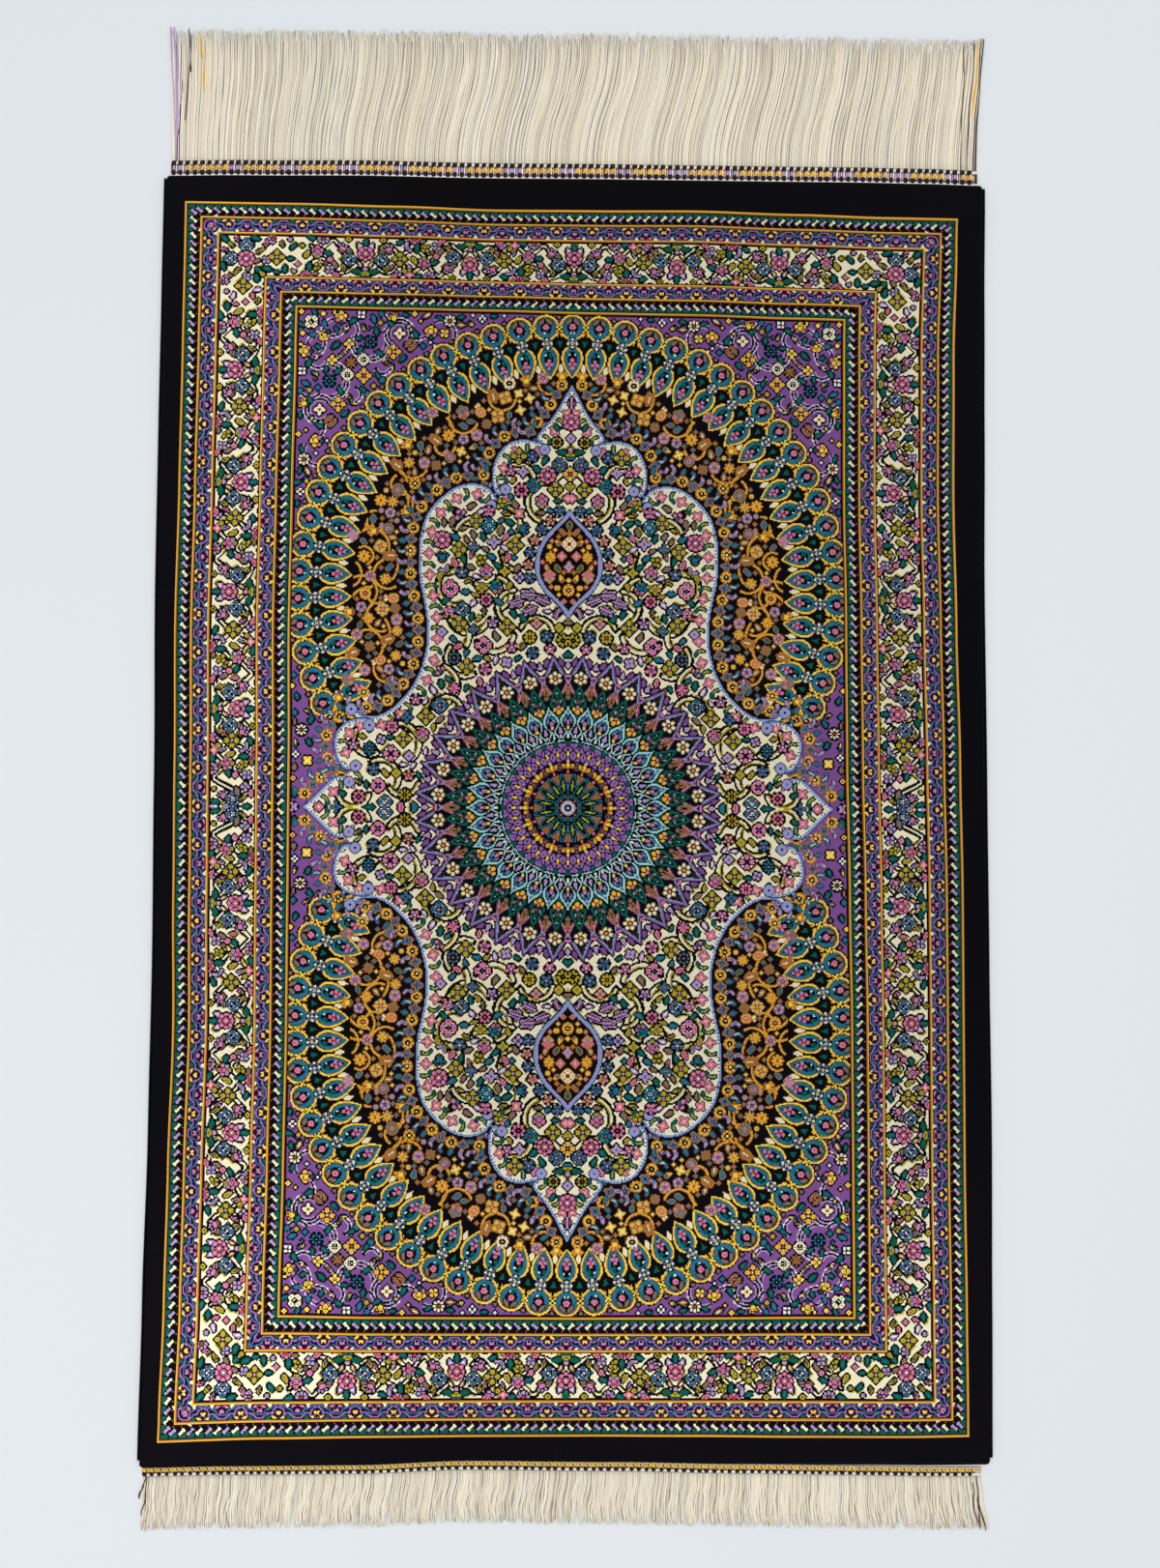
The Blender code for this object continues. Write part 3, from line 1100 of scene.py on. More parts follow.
# The purple corners. Places are in from the field's edges, from the side and from the end, and every row
# but those on the diagonal also shows on the other side of it.
SPANDREL = (
    # from side, from end, turn, size, motif
    (13.5, 13.5, 45, 1.00, "cream_beaded"),
    (40.0, 9.0, 0, 1.00, "gold_posy"),
    (25.5, 25.5, 135, 0.95, "gold_posy"),
    (87.0, 8.6, 30, 0.95, "gold_thistle"),
    (58.0, 6.2, 45, 0.95, "cream_dots"),
    (92.3, 22.5, 0, 1.15, "cream_cross"),
    (66.5, 30.5, 0, 1.00, "teal_daisy"),
    (47.5, 32.7, 0, 1.10, "gold_dots"),
    (49.5, 49.5, 45, 1.00, "camel_star"),
    (60.6, 46.5, 0, 0.90, "cream_beaded"),
    (61.0, 61.0, 0, 1.00, "gold_four"),
    (87.2, 39.0, 0, 1.00, "gold_four"),
    (102.2, 32.7, 0, 0.90, "camel_beaded"),
    (60.2, 17.8, 210, 0.80, "gold_bud"),
    (65.2, 18.4, 0, 0.90, "teal_speck"),
    (100.5, 15.9, 240, 0.80, "gold_bud"),
    (24.0, 6.0, 0, 0.90, "gold_spot"),
    (16.0, 4.6, 30, 0.75, "green_leaf"),
    (50.5, 12.2, 120, 0.95, "green_leaf"),
    (83.5, 13.5, 60, 0.85, "green_leaf"),
    (106.5, 22.6, 30, 0.95, "green_leaf"),
    (95.2, 45.0, 140, 0.95, "green_leaf"),
    (57.4, 38.0, 140, 0.85, "green_leaf"),
    (25.0, 14.8, 0, 0.80, "teal_leaf"),
    (36.0, 20.0, 20, 0.75, "green_leaf"),
    (34.0, 4.6, 90, 0.60, "gold_spot"),
    (45.0, 19.0, 310, 0.85, "cream_bud"),
    (56.0, 27.4, 280, 0.80, "green_leaf"),
    (68.6, 9.0, 25, 0.90, "teal_leaf"),
    (74.5, 40.5, 60, 0.95, "green_leaf"),
    (79.6, 47.0, 30, 0.90, "cream_bud"),
    (86.0, 53.0, 190, 0.80, "gold_bud"),
    (44.0, 39.6, 320, 0.85, "cream_bud"),
    (77.4, 64.4, 0, 1.20, "teal_spot"),
    (73.4, 60.0, 30, 0.80, "green_leaf"),
    (70.0, 70.0, 45, 0.80, "olive_spot"),
    (120.3, 20.5, 0, 1.05, "gold_posy"),
    (120.0, 30.0, 0, 0.95, "white_speck"),
    (123.6, 33.0, 0, 0.95, "white_speck"),
    (111.0, 11.0, 150, 0.70, "gold_spot"),
    (137.0, 10.2, 0, 1.00, "cream_daisy"),
    (128.0, 8.0, 60, 0.80, "green_leaf"),
    (147.0, 6.4, 100, 0.80, "green_leaf"),
    (156.0, 12.4, 250, 0.80, "gold_bud"),
    (166.0, 7.4, 0, 0.85, "cream_dots"),
    (176.0, 5.0, 90, 0.70, "green_leaf"),
    (75.6, 4.8, 0, 0.95, "teal_spot"),
    (75.0, 13.0, 0, 0.80, "olive_spot"),
    (97.0, 5.6, 90, 0.75, "green_leaf"),
)

SPANDREL_SCALE = 0.98

# Curling stems in the purple corners: round paths, with their angles anticlockwise from the side.
SCROLLS = (
    # from side, from end, radius, from angle, to angle
    (92.3, 22.5, 9.6, -40, 230),
    (92.3, 22.5, 12.6, -60, 150),
    (66.5, 30.5, 14.0, 190, 380),
    (66.5, 30.5, 17.0, 210, 350),
    (47.0, 20.0, 8.0, 90, 260),
    (32.0, 12.0, 14.0, 200, 300),
    (78.0, 52.0, 7.0, 160, 330),
    (72.0, 14.0, 10.0, 120, 230),
    (108.0, 14.0, 13.0, 200, 300),
    (130.0, 22.0, 12.0, 60, 200),
    (22.0, 36.0, 12.0, 20, 120),
)

# The strip of purple beside the medallion's tip, from the rug's middle.
SIDE_STRIP = (
    # u, v, turn, size, motif
    (236.0, 67.5, 0, 0.95, "cream_daisy"),
    (231.0, 84.0, 60, 0.80, "gold_bud"),
    (241.0, 56.0, 10, 0.75, "gold_bud"),
    (242.0, 82.5, 0, 0.90, "teal_spot"),
    (242.0, 74.5, 0, 0.60, "taupe_leaf"),
    (241.0, 46.0, 0, 0.80, "cream_dots"),
    (229.5, 57.0, 30, 0.80, "green_leaf"),
    (242.0, 35.0, 0, 0.75, "taupe_leaf"),
    (243.0, 25.0, 0, 0.90, "gold_spot"),
    (242.0, 12.0, 20, 0.75, "green_leaf"),
    (240.0, 97.0, 20, 0.80, "green_leaf"),
    (244.0, 106.0, 0, 0.70, "gold_spot"),
    (243.0, 0.0, 90, 0.90, "lilac_round"),
)

# Flowers on the black ground between the ring and the medallion.
BLACK_GROUND = (
    # u, v, turn, size, motif
    (109.0, 330.5, 0, 1.05, "gold_star"),
    (168.0, 271.5, 0, 1.05, "gold_star"),
    (182.0, 221.5, 0, 1.05, "gold_star"),
    (177.0, 166.5, 0, 1.00, "gold_star"),
    (124.0, 351.0, 0, 0.95, "lilac_round"),
    (130.0, 305.5, 0, 1.00, "lilac_round"),
    (84.0, 331.5, 0, 1.00, "lilac_round"),
    (176.0, 204.0, 0, 0.95, "lilac_round"),
    (152.0, 165.5, 0, 1.00, "lilac_round"),
    (187.0, 152.0, 0, 0.95, "lilac_round"),
    (180.0, 120.5, 0, 0.95, "lilac_round"),
    (26.0, 384.0, 0, 1.00, "lilac_round"),
    (56.0, 378.5, 0, 1.00, "cream_gilt"),
    (81.0, 352.0, 30, 1.00, "gold_fruit"),
    (155.0, 184.5, 90, 1.00, "gold_fruit"),
    (166.0, 129.5, 110, 0.95, "gold_fruit"),
    (161.0, 246.5, 70, 1.00, "teal_fruit"),
    (107.0, 311.0, 40, 0.95, "teal_fruit"),
    (180.0, 188.5, 0, 0.95, "pink_gilt"),
    (153.0, 281.0, 0, 1.00, "teal_daisy"),
    (138.0, 287.0, 0, 0.95, "gilt"),
    (145.0, 262.0, 50, 0.90, "gold_thistle"),
    (97.0, 352.0, 20, 0.95, "teal_posy"),
    (145.0, 321.0, 40, 0.95, "gold_thistle"),
    (154.0, 303.0, 50, 0.95, "camel_plume"),
    (120.0, 326.0, 60, 0.90, "camel_plume"),
    (70.0, 366.0, 20, 0.95, "camel_plume"),
    (41.0, 381.0, 10, 0.90, "gold_thistle"),
    (9.0, 385.5, 0, 0.90, "gold_thistle"),
    (174.0, 244.0, 80, 0.95, "gold_thistle"),
    (158.0, 222.0, 90, 0.95, "camel_plume"),
    (192.0, 240.0, 80, 0.90, "lilac_round"),
    (194.0, 172.0, 100, 0.90, "gold_thistle"),
    (159.0, 148.0, 100, 0.90, "camel_plume"),
    (190.0, 136.0, 110, 0.90, "camel_plume"),
    (181.0, 101.0, 100, 0.90, "gilt"),
    (195.0, 112.0, 90, 0.90, "teal_posy"),
    (203.0, 96.0, 90, 0.85, "gold_thistle"),
    (157.0, 110.0, 130, 0.90, "teal_posy"),
)

# Curling stems on the black ground and on the cream: round paths, with their angles anticlockwise from the
# side.
BLACK_SCROLLS = (
    # u, v, radius, from angle, to angle
    (96.0, 346.0, 13.0, 200, 390),
    (120.0, 334.0, 15.0, 20, 190),
    (140.0, 306.0, 14.0, 210, 400),
    (112.0, 322.0, 9.0, 190, 380),
    (160.0, 286.0, 15.0, 10, 170),
    (170.0, 258.0, 13.0, 230, 400),
    (150.0, 268.0, 10.0, 60, 240),
    (176.0, 230.0, 16.0, 20, 190),
    (160.0, 206.0, 13.0, 240, 430),
    (184.0, 190.0, 14.0, 60, 230),
    (166.0, 168.0, 13.0, 250, 420),
    (178.0, 142.0, 14.0, 70, 250),
    (160.0, 122.0, 12.0, 240, 400),
    (62.0, 366.0, 12.0, 190, 360),
    (40.0, 374.0, 11.0, 10, 170),
    (20.0, 380.0, 10.0, 200, 350),
    (196.0, 206.0, 12.0, 120, 290),
    (190.0, 252.0, 10.0, 130, 300),
    (84.0, 362.0, 10.0, 20, 150),
    (164.0, 270.0, 20.0, 150, 220),
    (172.0, 242.0, 20.0, 20, 90),
    (172.0, 214.0, 20.0, 140, 220),
    (176.0, 176.0, 18.0, 10, 90),
    (176.0, 154.0, 18.0, 140, 230),
    (150.0, 286.0, 9.0, 250, 420),
    (182.0, 222.0, 8.0, 60, 250),
    (170.0, 188.0, 8.0, 240, 420),
)
MEDALLION_SCROLLS = (
    # u, v, radius, from angle, to angle
    (22.0, 306.0, 16.0, 200, 380),
    (46.0, 292.0, 14.0, 20, 200),
    (20.0, 272.0, 18.0, 290, 440),
    (60.0, 252.0, 16.0, 110, 280),
    (88.0, 266.0, 14.0, 190, 350),
    (84.0, 240.0, 18.0, 20, 150),
    (44.0, 226.0, 16.0, 290, 450),
    (74.0, 214.0, 18.0, 150, 300),
    (108.0, 222.0, 14.0, 110, 280),
    (98.0, 196.0, 18.0, 270, 420),
    (66.0, 190.0, 15.0, 100, 260),
    (88.0, 172.0, 18.0, 200, 350),
    (48.0, 178.0, 15.0, 300, 450),
    (106.0, 152.0, 18.0, 60, 210),
    (66.0, 156.0, 18.0, 190, 330),
    (28.0, 154.0, 15.0, 20, 170),
    (92.0, 132.0, 16.0, 240, 400),
    (116.0, 108.0, 18.0, 110, 260),
    (108.0, 84.0, 14.0, 20, 180),
    (136.0, 84.0, 16.0, 250, 400),
    (150.0, 56.0, 18.0, 70, 230),
    (176.0, 60.0, 14.0, 240, 400),
    (166.0, 26.0, 16.0, 60, 230),
    (190.0, 14.0, 14.0, 190, 340),
    (146.0, 24.0, 14.0, 190, 330),
)

# How much larger the medallion's flowers are than they are listed.
MEDALLION_SCALE = 1.06

# The flowers of the cream medallion.
MEDALLION = (
    # u, v, turn, size, motif
    (0.0, 362.0, 0, 0.75, "lilac_plume"),
    (0.0, 345.0, 0, 0.95, "pink_rosette"),
    (13.0, 340.0, 30, 0.80, "green_leaf"),
    (0.0, 330.0, 0, 0.90, "lilac_cross"),
    (12.5, 326.5, 0, 0.85, "olive_daisy"),
    (0.0, 316.5, 0, 0.95, "lily"),
    (10.0, 306.0, 0, 0.90, "slate_beaded"),
    (0.0, 298.0, 0, 0.90, "gold_four"),
    (20.0, 296.5, 0, 0.95, "pink_rosette"),
    (34.0, 313.0, 0, 1.00, "slate_round"),
    (30.0, 302.0, 45, 0.90, "green_leaf"),
    (46.0, 313.0, 0, 0.95, "olive_four"),
    (53.0, 300.0, 0, 0.95, "pink_round"),
    (42.0, 299.0, 0, 0.95, "lilac_cross"),
    (33.0, 287.0, 0, 0.90, "teal_beaded"),
    (13.0, 284.0, 0, 0.90, "olive_four"),
    (2.0, 276.0, 0, 0.90, "pink_cross"),
    (25.0, 273.0, 0, 0.95, "pink_posy"),
    (43.0, 282.5, 0, 1.10, "pink_daisy"),
    (60.4, 270.5, 0, 1.10, "olive_cluster"),
    (49.0, 270.0, 30, 0.90, "taupe_leaf"),
    (53.0, 276.5, 0, 0.95, "teal_spot"),
    (45.0, 261.5, 45, 1.05, "pink_cross"),
    (56.5, 261.5, 250, 0.85, "olive_bud"),
    (53.0, 253.5, 250, 0.95, "green_leaf"),
    (79.6, 262.5, 120, 0.80, "lilac_leaf"),
    (97.0, 260.0, 0, 1.10, "pink_cluster"),
    (104.5, 253.0, 170, 0.90, "taupe_leaf"),
    (83.0, 254.5, 0, 0.90, "olive_four"),
    (72.0, 250.5, 0, 0.95, "teal_beaded"),
    (94.0, 248.0, 280, 0.85, "olive_bud"),
    (72.0, 263.5, 0, 0.95, "pink_round"),
    (85.6, 242.6, 20, 0.80, "taupe_leaf"),
    (76.8, 240.6, 20, 0.85, "green_leaf"),
    (102.0, 240.0, 60, 0.90, "teal_leaf"),
    (113.0, 237.0, 0, 0.95, "pink_rosette"),
    (61.4, 245.6, 160, 0.90, "taupe_leaf"),
    (56.4, 240.6, 140, 0.85, "pink_leaf"),
    (52.0, 244.6, 0, 0.85, "teal_spot"),
    (41.4, 248.0, 260, 1.00, "teal_thistle"),
    (98.0, 228.5, 0, 0.95, "olive_four"),
    (48.0, 233.0, 0, 0.95, "olive_four"),
    (85.0, 230.8, 0, 0.95, "slate_diamond"),
    (67.0, 235.5, 0, 1.05, "lilac_cross"),
    (57.6, 230.6, 60, 0.80, "lilac_leaf"),
    (86.8, 223.4, 160, 0.80, "pink_bud"),
    (93.6, 219.6, 200, 0.80, "green_leaf"),
    (101.6, 216.8, 30, 0.95, "pink_leaf"),
    (112.4, 221.6, 0, 0.90, "teal_thistle"),
    (110.4, 211.0, 140, 0.85, "lilac_curl"),
    (77.0, 219.4, 0, 1.00, "olive_cluster"),
    (69.2, 222.4, 60, 0.85, "teal_leaf"),
    (73.2, 209.4, 0, 0.95, "pink_posy"),
    (63.6, 214.8, 50, 0.85, "green_leaf"),
    (87.4, 213.0, 70, 0.80, "taupe_leaf"),
    (81.6, 204.6, 250, 0.80, "lilac_leaf"),
    (54.8, 221.4, 150, 0.85, "pink_leaf"),
    (48.8, 222.0, 0, 0.80, "teal_spot"),
    (46.0, 212.0, 150, 0.85, "taupe_leaf"),
    (95.0, 208.5, 0, 1.00, "red_heart"),
    (57.0, 209.5, 0, 0.90, "olive_cross"),
    (114.5, 204.5, 160, 0.85, "olive_leaf"),
    (89.6, 201.0, 130, 0.85, "olive_bud"),
    (105.0, 193.5, 0, 1.10, "pink_beaded"),
    (91.6, 191.0, 90, 0.85, "teal_leaf"),
    (77.0, 194.5, 0, 0.95, "olive_diamond"),
    (43.4, 204.4, 0, 1.00, "lilac_dots"),
    (64.0, 195.4, 30, 0.95, "teal_posy"),
    (52.6, 196.8, 160, 0.80, "olive_leaf"),
    (73.0, 184.0, 0, 0.95, "pink_daisy"),
    (109.2, 182.6, 140, 0.80, "green_leaf"),
    (84.8, 180.6, 140, 0.80, "lilac_leaf"),
    (62.0, 182.4, 60, 0.90, "teal_leaf"),
    (74.8, 172.8, 180, 0.85, "olive_bud"),
    (85.8, 168.6, 170, 0.80, "green_leaf"),
    (105.4, 173.6, 0, 0.95, "pink_round"),
    (94.2, 175.2, 0, 0.95, "slate_beaded"),
    (97.0, 162.6, 0, 0.95, "olive_four"),
    (54.0, 160.0, 0, 0.95, "olive_four"),
    (84.0, 157.6, 0, 0.95, "slate_diamond"),
    (28.0, 163.5, 0, 0.95, "salmon_cross"),
    (19.0, 152.0, 0, 1.00, "slate_round"),
    (75.0, 143.5, 0, 1.05, "pink_beaded"),
    (50.0, 142.0, 0, 0.95, "pink_round"),
    (90.0, 124.5, 0, 0.95, "olive_four"),
    (101.0, 132.0, 0, 1.00, "slate_daisy"),
    (101.0, 105.0, 0, 1.00, "pink_star"),
    (114.0, 90.0, 0, 1.00, "slate_beaded"),
    (34.0, 151.0, 0, 0.90, "olive_daisy"),
    (40.0, 168.0, 40, 0.90, "green_leaf"),
    (67.0, 164.0, 0, 0.90, "lilac_round"),
    (112.0, 155.0, 0, 0.90, "lilac_cross"),
    (113.0, 121.0, 0, 0.95, "pink_cluster"),
    (64.0, 152.0, 30, 0.90, "taupe_leaf"),
    (8.0, 160.0, 0, 0.90, "olive_cross"),
    (16.0, 141.0, 0, 0.85, "pink_round"),
    (126.0, 80.0, 0, 0.95, "olive_four"),
    (135.0, 95.0, 0, 0.90, "pink_round"),
    (129.0, 64.0, 0, 0.95, "pink_posy"),
    (143.0, 79.0, 0, 0.95, "slate_diamond"),
    (156.0, 71.0, 0, 0.90, "pink_daisy"),
    (141.0, 45.0, 0, 0.90, "lilac_cross"),
    (176.0, 51.5, 0, 0.95, "teal_daisy"),
    (157.0, 47.0, 0, 1.00, "pink_four"),
    (146.0, 60.0, 0, 0.95, "olive_four"),
    (190.0, 55.0, 0, 0.90, "pink_round"),
    (172.0, 33.5, 0, 0.95, "slate_round"),
    (168.0, 19.0, 0, 0.95, "pink_beaded"),
    (185.0, 9.0, 90, 0.95, "pink_daisy"),
    (162.0, 4.6, 0, 0.85, "slate_beaded"),
    (144.5, 11.0, 0, 0.95, "olive_daisy"),
    (175.5, 0.0, 90, 0.95, "green_leaf"),
    (152.0, 30.0, 0, 0.90, "olive_cross"),
    (141.0, 28.0, 0, 0.90, "salmon_round"),
    (186.0, 22.0, 60, 0.80, "olive_bud"),
    (200.0, 12.0, 60, 0.80, "green_leaf"),
    (205.0, 0.0, 90, 0.90, "slate_diamond"),
    (220.0, 0.0, 0, 0.90, "pink_cross"),
)

# What fills the gaps between the placed flowers, largest first, as (half width, motifs taken in turn).
CREAM_FILL = (
    (6.6, ("olive_daisy", "pink_round", "slate_round", "lilac_cross", "olive_cross", "pink_cross")),
    (5.4, ("green_leaf", "lilac_dots", "pink_bud", "teal_leaf", "olive_bud", "taupe_leaf", "pink_cross")),
    (4.4, ("green_leaf", "pink_leaf", "taupe_leaf", "lilac_leaf", "olive_leaf", "teal_leaf")),
    (3.4, ("green_leaf", "taupe_leaf", "olive_leaf", "lilac_leaf", "teal_leaf")),
)
PURPLE_FILL = (
    (6.4, ("gold_cross", "teal_round", "camel_beaded", "cream_daisy", "gold_four")),
    (5.4, ("green_leaf", "gold_dots", "taupe_leaf", "teal_leaf")),
    (4.4, ("green_leaf", "gold_spot", "camel_leaf", "teal_spot", "white_speck")),
)
BLACK_FILL = (
    (5.2, ("gold_star", "gold_cross", "lilac_round", "camel_star", "gold_four", "teal_leaf")),
    (4.4, ("camel_leaf", "gold_bud", "teal_leaf", "amber_leaf", "gold_dots", "green_leaf")),
    (3.6, ("amber_leaf", "green_leaf", "gold_spot", "camel_leaf", "teal_leaf", "lilac_spot")),
    (2.6, ("amber_speck", "teal_speck", "gold_speck", "taupe_speck")),
)
BORDER_FILL = (
    (4.6, ("green_leaf", "pink_spot", "olive_bud", "lilac_leaf")),
    (3.3, ("pink_leaf", "lilac_spot", "green_leaf", "olive_spot")),
)



# How much of a filling motif's half width has to be open ground, and its size for each width of that ground.
FILL_REACH = 0.86
FILL_SIZES = {2: 0.90, 3: 0.72, 4: 0.90, 5: 0.95, 6: 1.05}


def widen_outlines(chart, ground, rim):
    """Widens the outlines on this ground by a knot, all round where there is room and else on two sides."""
    lines, open_now = chart.knots == YARN[rim], chart.knots == YARN[ground]
    wider = lines.copy()
    wider[:-1] |= lines[1:]
    wider[:, :-1] |= lines[:, 1:]
    roomy = grown(grown(open_now & ~grown(grown(lines))))
    chart.knots[open_now & (wider | (grown(lines) & roomy))] = YARN[rim]


def shade_ground(chart, ground, shade, share):
    """Works a shade along one side of the open ground's narrow runs, here and there."""
    rows, columns = knot_places()
    open_now = chart.knots == YARN[ground]
    side = open_now.copy()
    side[1:, 1:] &= ~open_now[:-1, :-1]
    runs = np.sin(rows / 5.0 + 2.6 * np.sin(columns / 9.0))
    runs = runs + np.sin(columns / 4.3 + 2.2 * np.sin(rows / 8.0))
    chart.knots[side & (runs > 2.0 - 3.2 * share)] = YARN[shade]


# The lines of a curling stem: how far out each lies, its width, its yarn and its beads.
CREAM_STEM = ((0.0, 5.6, "black", None), (0.5, 2.4, "ivory", None), (-1.1, 1.0, "olive", None))
GOLD_STEM = ((0.0, 2.4, "amber", None), (0.3, 0.9, "gold", None))
LILAC_STEM = ((0.0, 2.4, "black", None), (1.4, 1.0, "lilac", ("white", 3, 2)), (-1.4, 1.0, "lilac", None))


def knot_scroll(pen, radius, first, last, lines):
    """A curling stem on a round path, from one angle to another."""
    for out, width, yarn, beads in lines:
        pen.stroke(round_path(radius + out, first, last), width, yarn, beads=beads)


def knot_scrolls(chart, table, lines, allowed):
    """The curling stems of a table, where they are allowed to be."""
    before = chart.knots.copy()
    for u, v, radius, first, last in table:
        knot_scroll(Pen(chart, u, v), radius, first, last, lines)
    chart.knots[~allowed] = before[~allowed]


def medallion_edge():
    """The medallion's whole edge as one chain, from the long axis to the short one."""
    return [place for run in MEDALLION_RUNS for place in smooth(run, MEDALLION_STEPS)]


def open_ground(chart, ground, region, reach):
    """Where a motif this wide would lie wholly on open ground, as a mask of its middles."""
    blocked = np.ones((CHART_ROWS + 2 * reach, CHART_COLUMNS + 2 * reach), dtype=np.int32)
    blocked[reach:-reach, reach:-reach] = ~((chart.knots == YARN[ground]) & region)
    blocked[reach:-reach, :reach] = blocked[reach:-reach, reach : 2 * reach][:, ::-1]
    blocked[:reach, :] = blocked[reach : 2 * reach, :][::-1]
    total = np.pad(blocked.cumsum(0).cumsum(1), ((1, 0), (1, 0)))
    side = 2 * reach + 1
    count = total[side:, side:] - total[:-side, side:] - total[side:, :-side] + total[:-side, :-side]
    return count == 0


def fill_gaps(chart, ground, region, sizes, rim, seed):
    """Places small motifs in the gaps that are left, largest first, always in the same order."""
    rng = random.Random(seed)
    for half, motifs in sizes:
        reach = int(round(half * FILL_REACH))
        open_now = open_ground(chart, ground, region, reach)
        rows, columns = np.nonzero(open_now)
        places = list(zip(rows.tolist(), columns.tolist()))
        rng.shuffle(places)
        taken = np.zeros_like(open_now)
        number = 0
        for row, column in places:
            if taken[row, column]:
                continue
            low, left = max(row - 2 * reach - 1, 0), max(column - 2 * reach - 1, 0)
            taken[low : row + 2 * reach + 2, left : column + 2 * reach + 2] = True
            pen = Pen(chart, column + 0.5, row + 0.5, rng.uniform(0, 360), FILL_SIZES[reach])
            draw(pen, motifs[number % len(motifs)], rim)
            number += 1


def spandrel_pen(chart, from_side, from_end, turned):
    """A pen in the purple corner, or at the mirrored place on the other side of its diagonal."""
    if turned:
        return Pen(chart, FIELD_U - from_end, FIELD_V - from_side, 90.0, flip=-1)
    return Pen(chart, FIELD_U - from_side, FIELD_V - from_end)


def knot_spandrel(chart):
    """The purple corner: curling stems, then its flowers."""
    for from_side, from_end, radius, first, last in SCROLLS:
        for turned in (False, True):
            pen = spandrel_pen(chart, from_side, from_end, turned)
            knot_scroll(pen, radius, first, last, LILAC_STEM)
    for from_side, from_end, turn, size, motif in SPANDREL:
        for turned in (False, True) if from_side != from_end else (False,):
            pen = spandrel_pen(chart, from_side, from_end, turned)
            draw(pen.moved(lean=turn, size=size * SPANDREL_SCALE), motif)
    draw_all(chart, SIDE_STRIP)


def ring_pen(chart, step, out=0.0):
    """A pen on the ring of lobes, heading outwards."""
    angle = math.radians(step * RING_STEP)
    radius = RING_RADIUS + out
    return Pen(chart, radius * math.sin(angle), RING_V + radius * math.cos(angle), step * RING_STEP)


def knot_petal(pen):
    """One long pointed petal inside the ring, seen from the lobe's middle."""
    edge = [(0, -47), (3.6, -42.6), (7.6, -36), (9.6, -29), (8.8, -23), (5.4, -18.5), (0, -16.6)]
    outline = mirrored(smooth(edge, 4))
    pen.shape(outline, "yellow", "black")
    middle, half_width, half_length = -30.0, 9.8, 15.5
    for inset, yarn in ((1.7, "amber"), (2.3, "black"), (2.7, "teal"), (5.6, "black")):
        thinner, shorter = 1 - inset / half_width, 1 - inset / half_length
        pen.shape([(p * thinner, middle + (q - middle) * shorter) for p, q in outline], yarn)
    for p, q in ((0.0, -37.0), (-2.0, -33.4), (2.0, -33.4), (0.0, -30.0)):
        pen.moved(p, q).disc("pink", 1.6)
    pen.moved(0.2, -33.8).disc("rust", 0.6)
    pen.moved(-1.8, -25.6, 20.0).oval("green", 3.4, 4.4)
    pen.moved(2.4, -25.0).disc("white", 0.9)


def knot_lobe(pen):
    """One round lobe of the ring: gold rim, blue and black inside, a pink flower between two leaves."""
    pen.disc("black", 12.3)
    pen.disc("yellow", 11.8)
    pen.disc("amber", 10.2)
    pen.disc("black", 9.6)
    pen.disc("teal", 9.2)
    pen.oval("black", 10.6, 12.4)
    for side in (-1, 1):
        pen.moved(side * 3.4, 5.2, side * -38.0).oval("taupe", 3.2, 7.0, "black")
        pen.moved(side * 5.2, -4.2, side * 20.0).oval("slate", 2.6, 5.2)
    pen.out(0.4).disc("pink", 2.7, "black")
    pen.moved(0.2, 0.6).disc("rust", 0.7)
    pen.out(-4.6).oval("green", 3.0, 3.4)
    pen.moved(1.6, -4.8).disc("white", 0.8)


def knot_ring(chart):
    """The ring: petals inside, lobes, and the small flowers and crossings between them."""
    rows, columns = knot_places()
    inside_ring = ring_distance() < RING_RADIUS + 1
    chart.knots[inside_ring & (columns < FIELD_U - 1) & (rows > RING_FIRST_ROW)] = YARN["black"]
    steps = range(-1, RING_LAST + 1)
    for step in steps:
        between = ring_pen(chart, step + 0.5)
        between.out(-36.0).shape([(-4.6, 2.6), (4.6, 2.6), (0.0, -6.6)], "cream", "brown")
        between.out(9.0).disc("taupe", 1.5, "black")
    for step in steps:
        knot_petal(ring_pen(chart, step))
    for step in steps:
        knot_lobe(ring_pen(chart, step))
    for step in steps:
        between = ring_pen(chart, step + 0.5)
        between.out(-15.5).shape([(-2.6, 2.6), (2.6, 2.6), (0.0, -3.6)], "green", "black")
        for side in (-1, 1):
            between.stroke([(side * 0.8, -3.0), (side * 2.0, -8.6)], 1.0, "gold")
        for spoke in between.out(-1.6).spokes(4, 2.6, 45.0):
            spoke.disc("yellow", 1.0, "black")
        between.out(-1.6).disc("yellow", 1.4)
    for step in steps:
        flower = ring_pen(chart, step, -14.6)
        flower.disc("navy", 5.0, "black")
        for spoke in flower.spokes(4, 4.0, 45.0):
            spoke.disc("slate", 1.5)
        for spoke in flower.spokes(4, 3.8):
            spoke.disc("cream", 1.2)
        flower.checks("cream", "navy", 1.7)


# The rows of flowers beside the medallion's edge. A positive offset lies on the cream side of the edge and a
# negative one on the black side. Start is where along the edge the first flower is.
EDGE_ROWS = (
    # offset, pitch, start, size, rim, motifs
    (-8.6, 10.2, 3.0, 0.95, "amber", ("gilt", "slate_diamond")),
    (-16.6, 9.4, 2.0, 0.78, "brown", ("lilac_curl", "teal_leaf", "slate_curl")),
    (8.2, 9.6, 4.0, 1.05, "navy", ("pink_cross", "green_curl")),
)

# Flowers of a row stay this share of its pitch apart where the edge bends.
CLOSEST_SHARE = 0.72


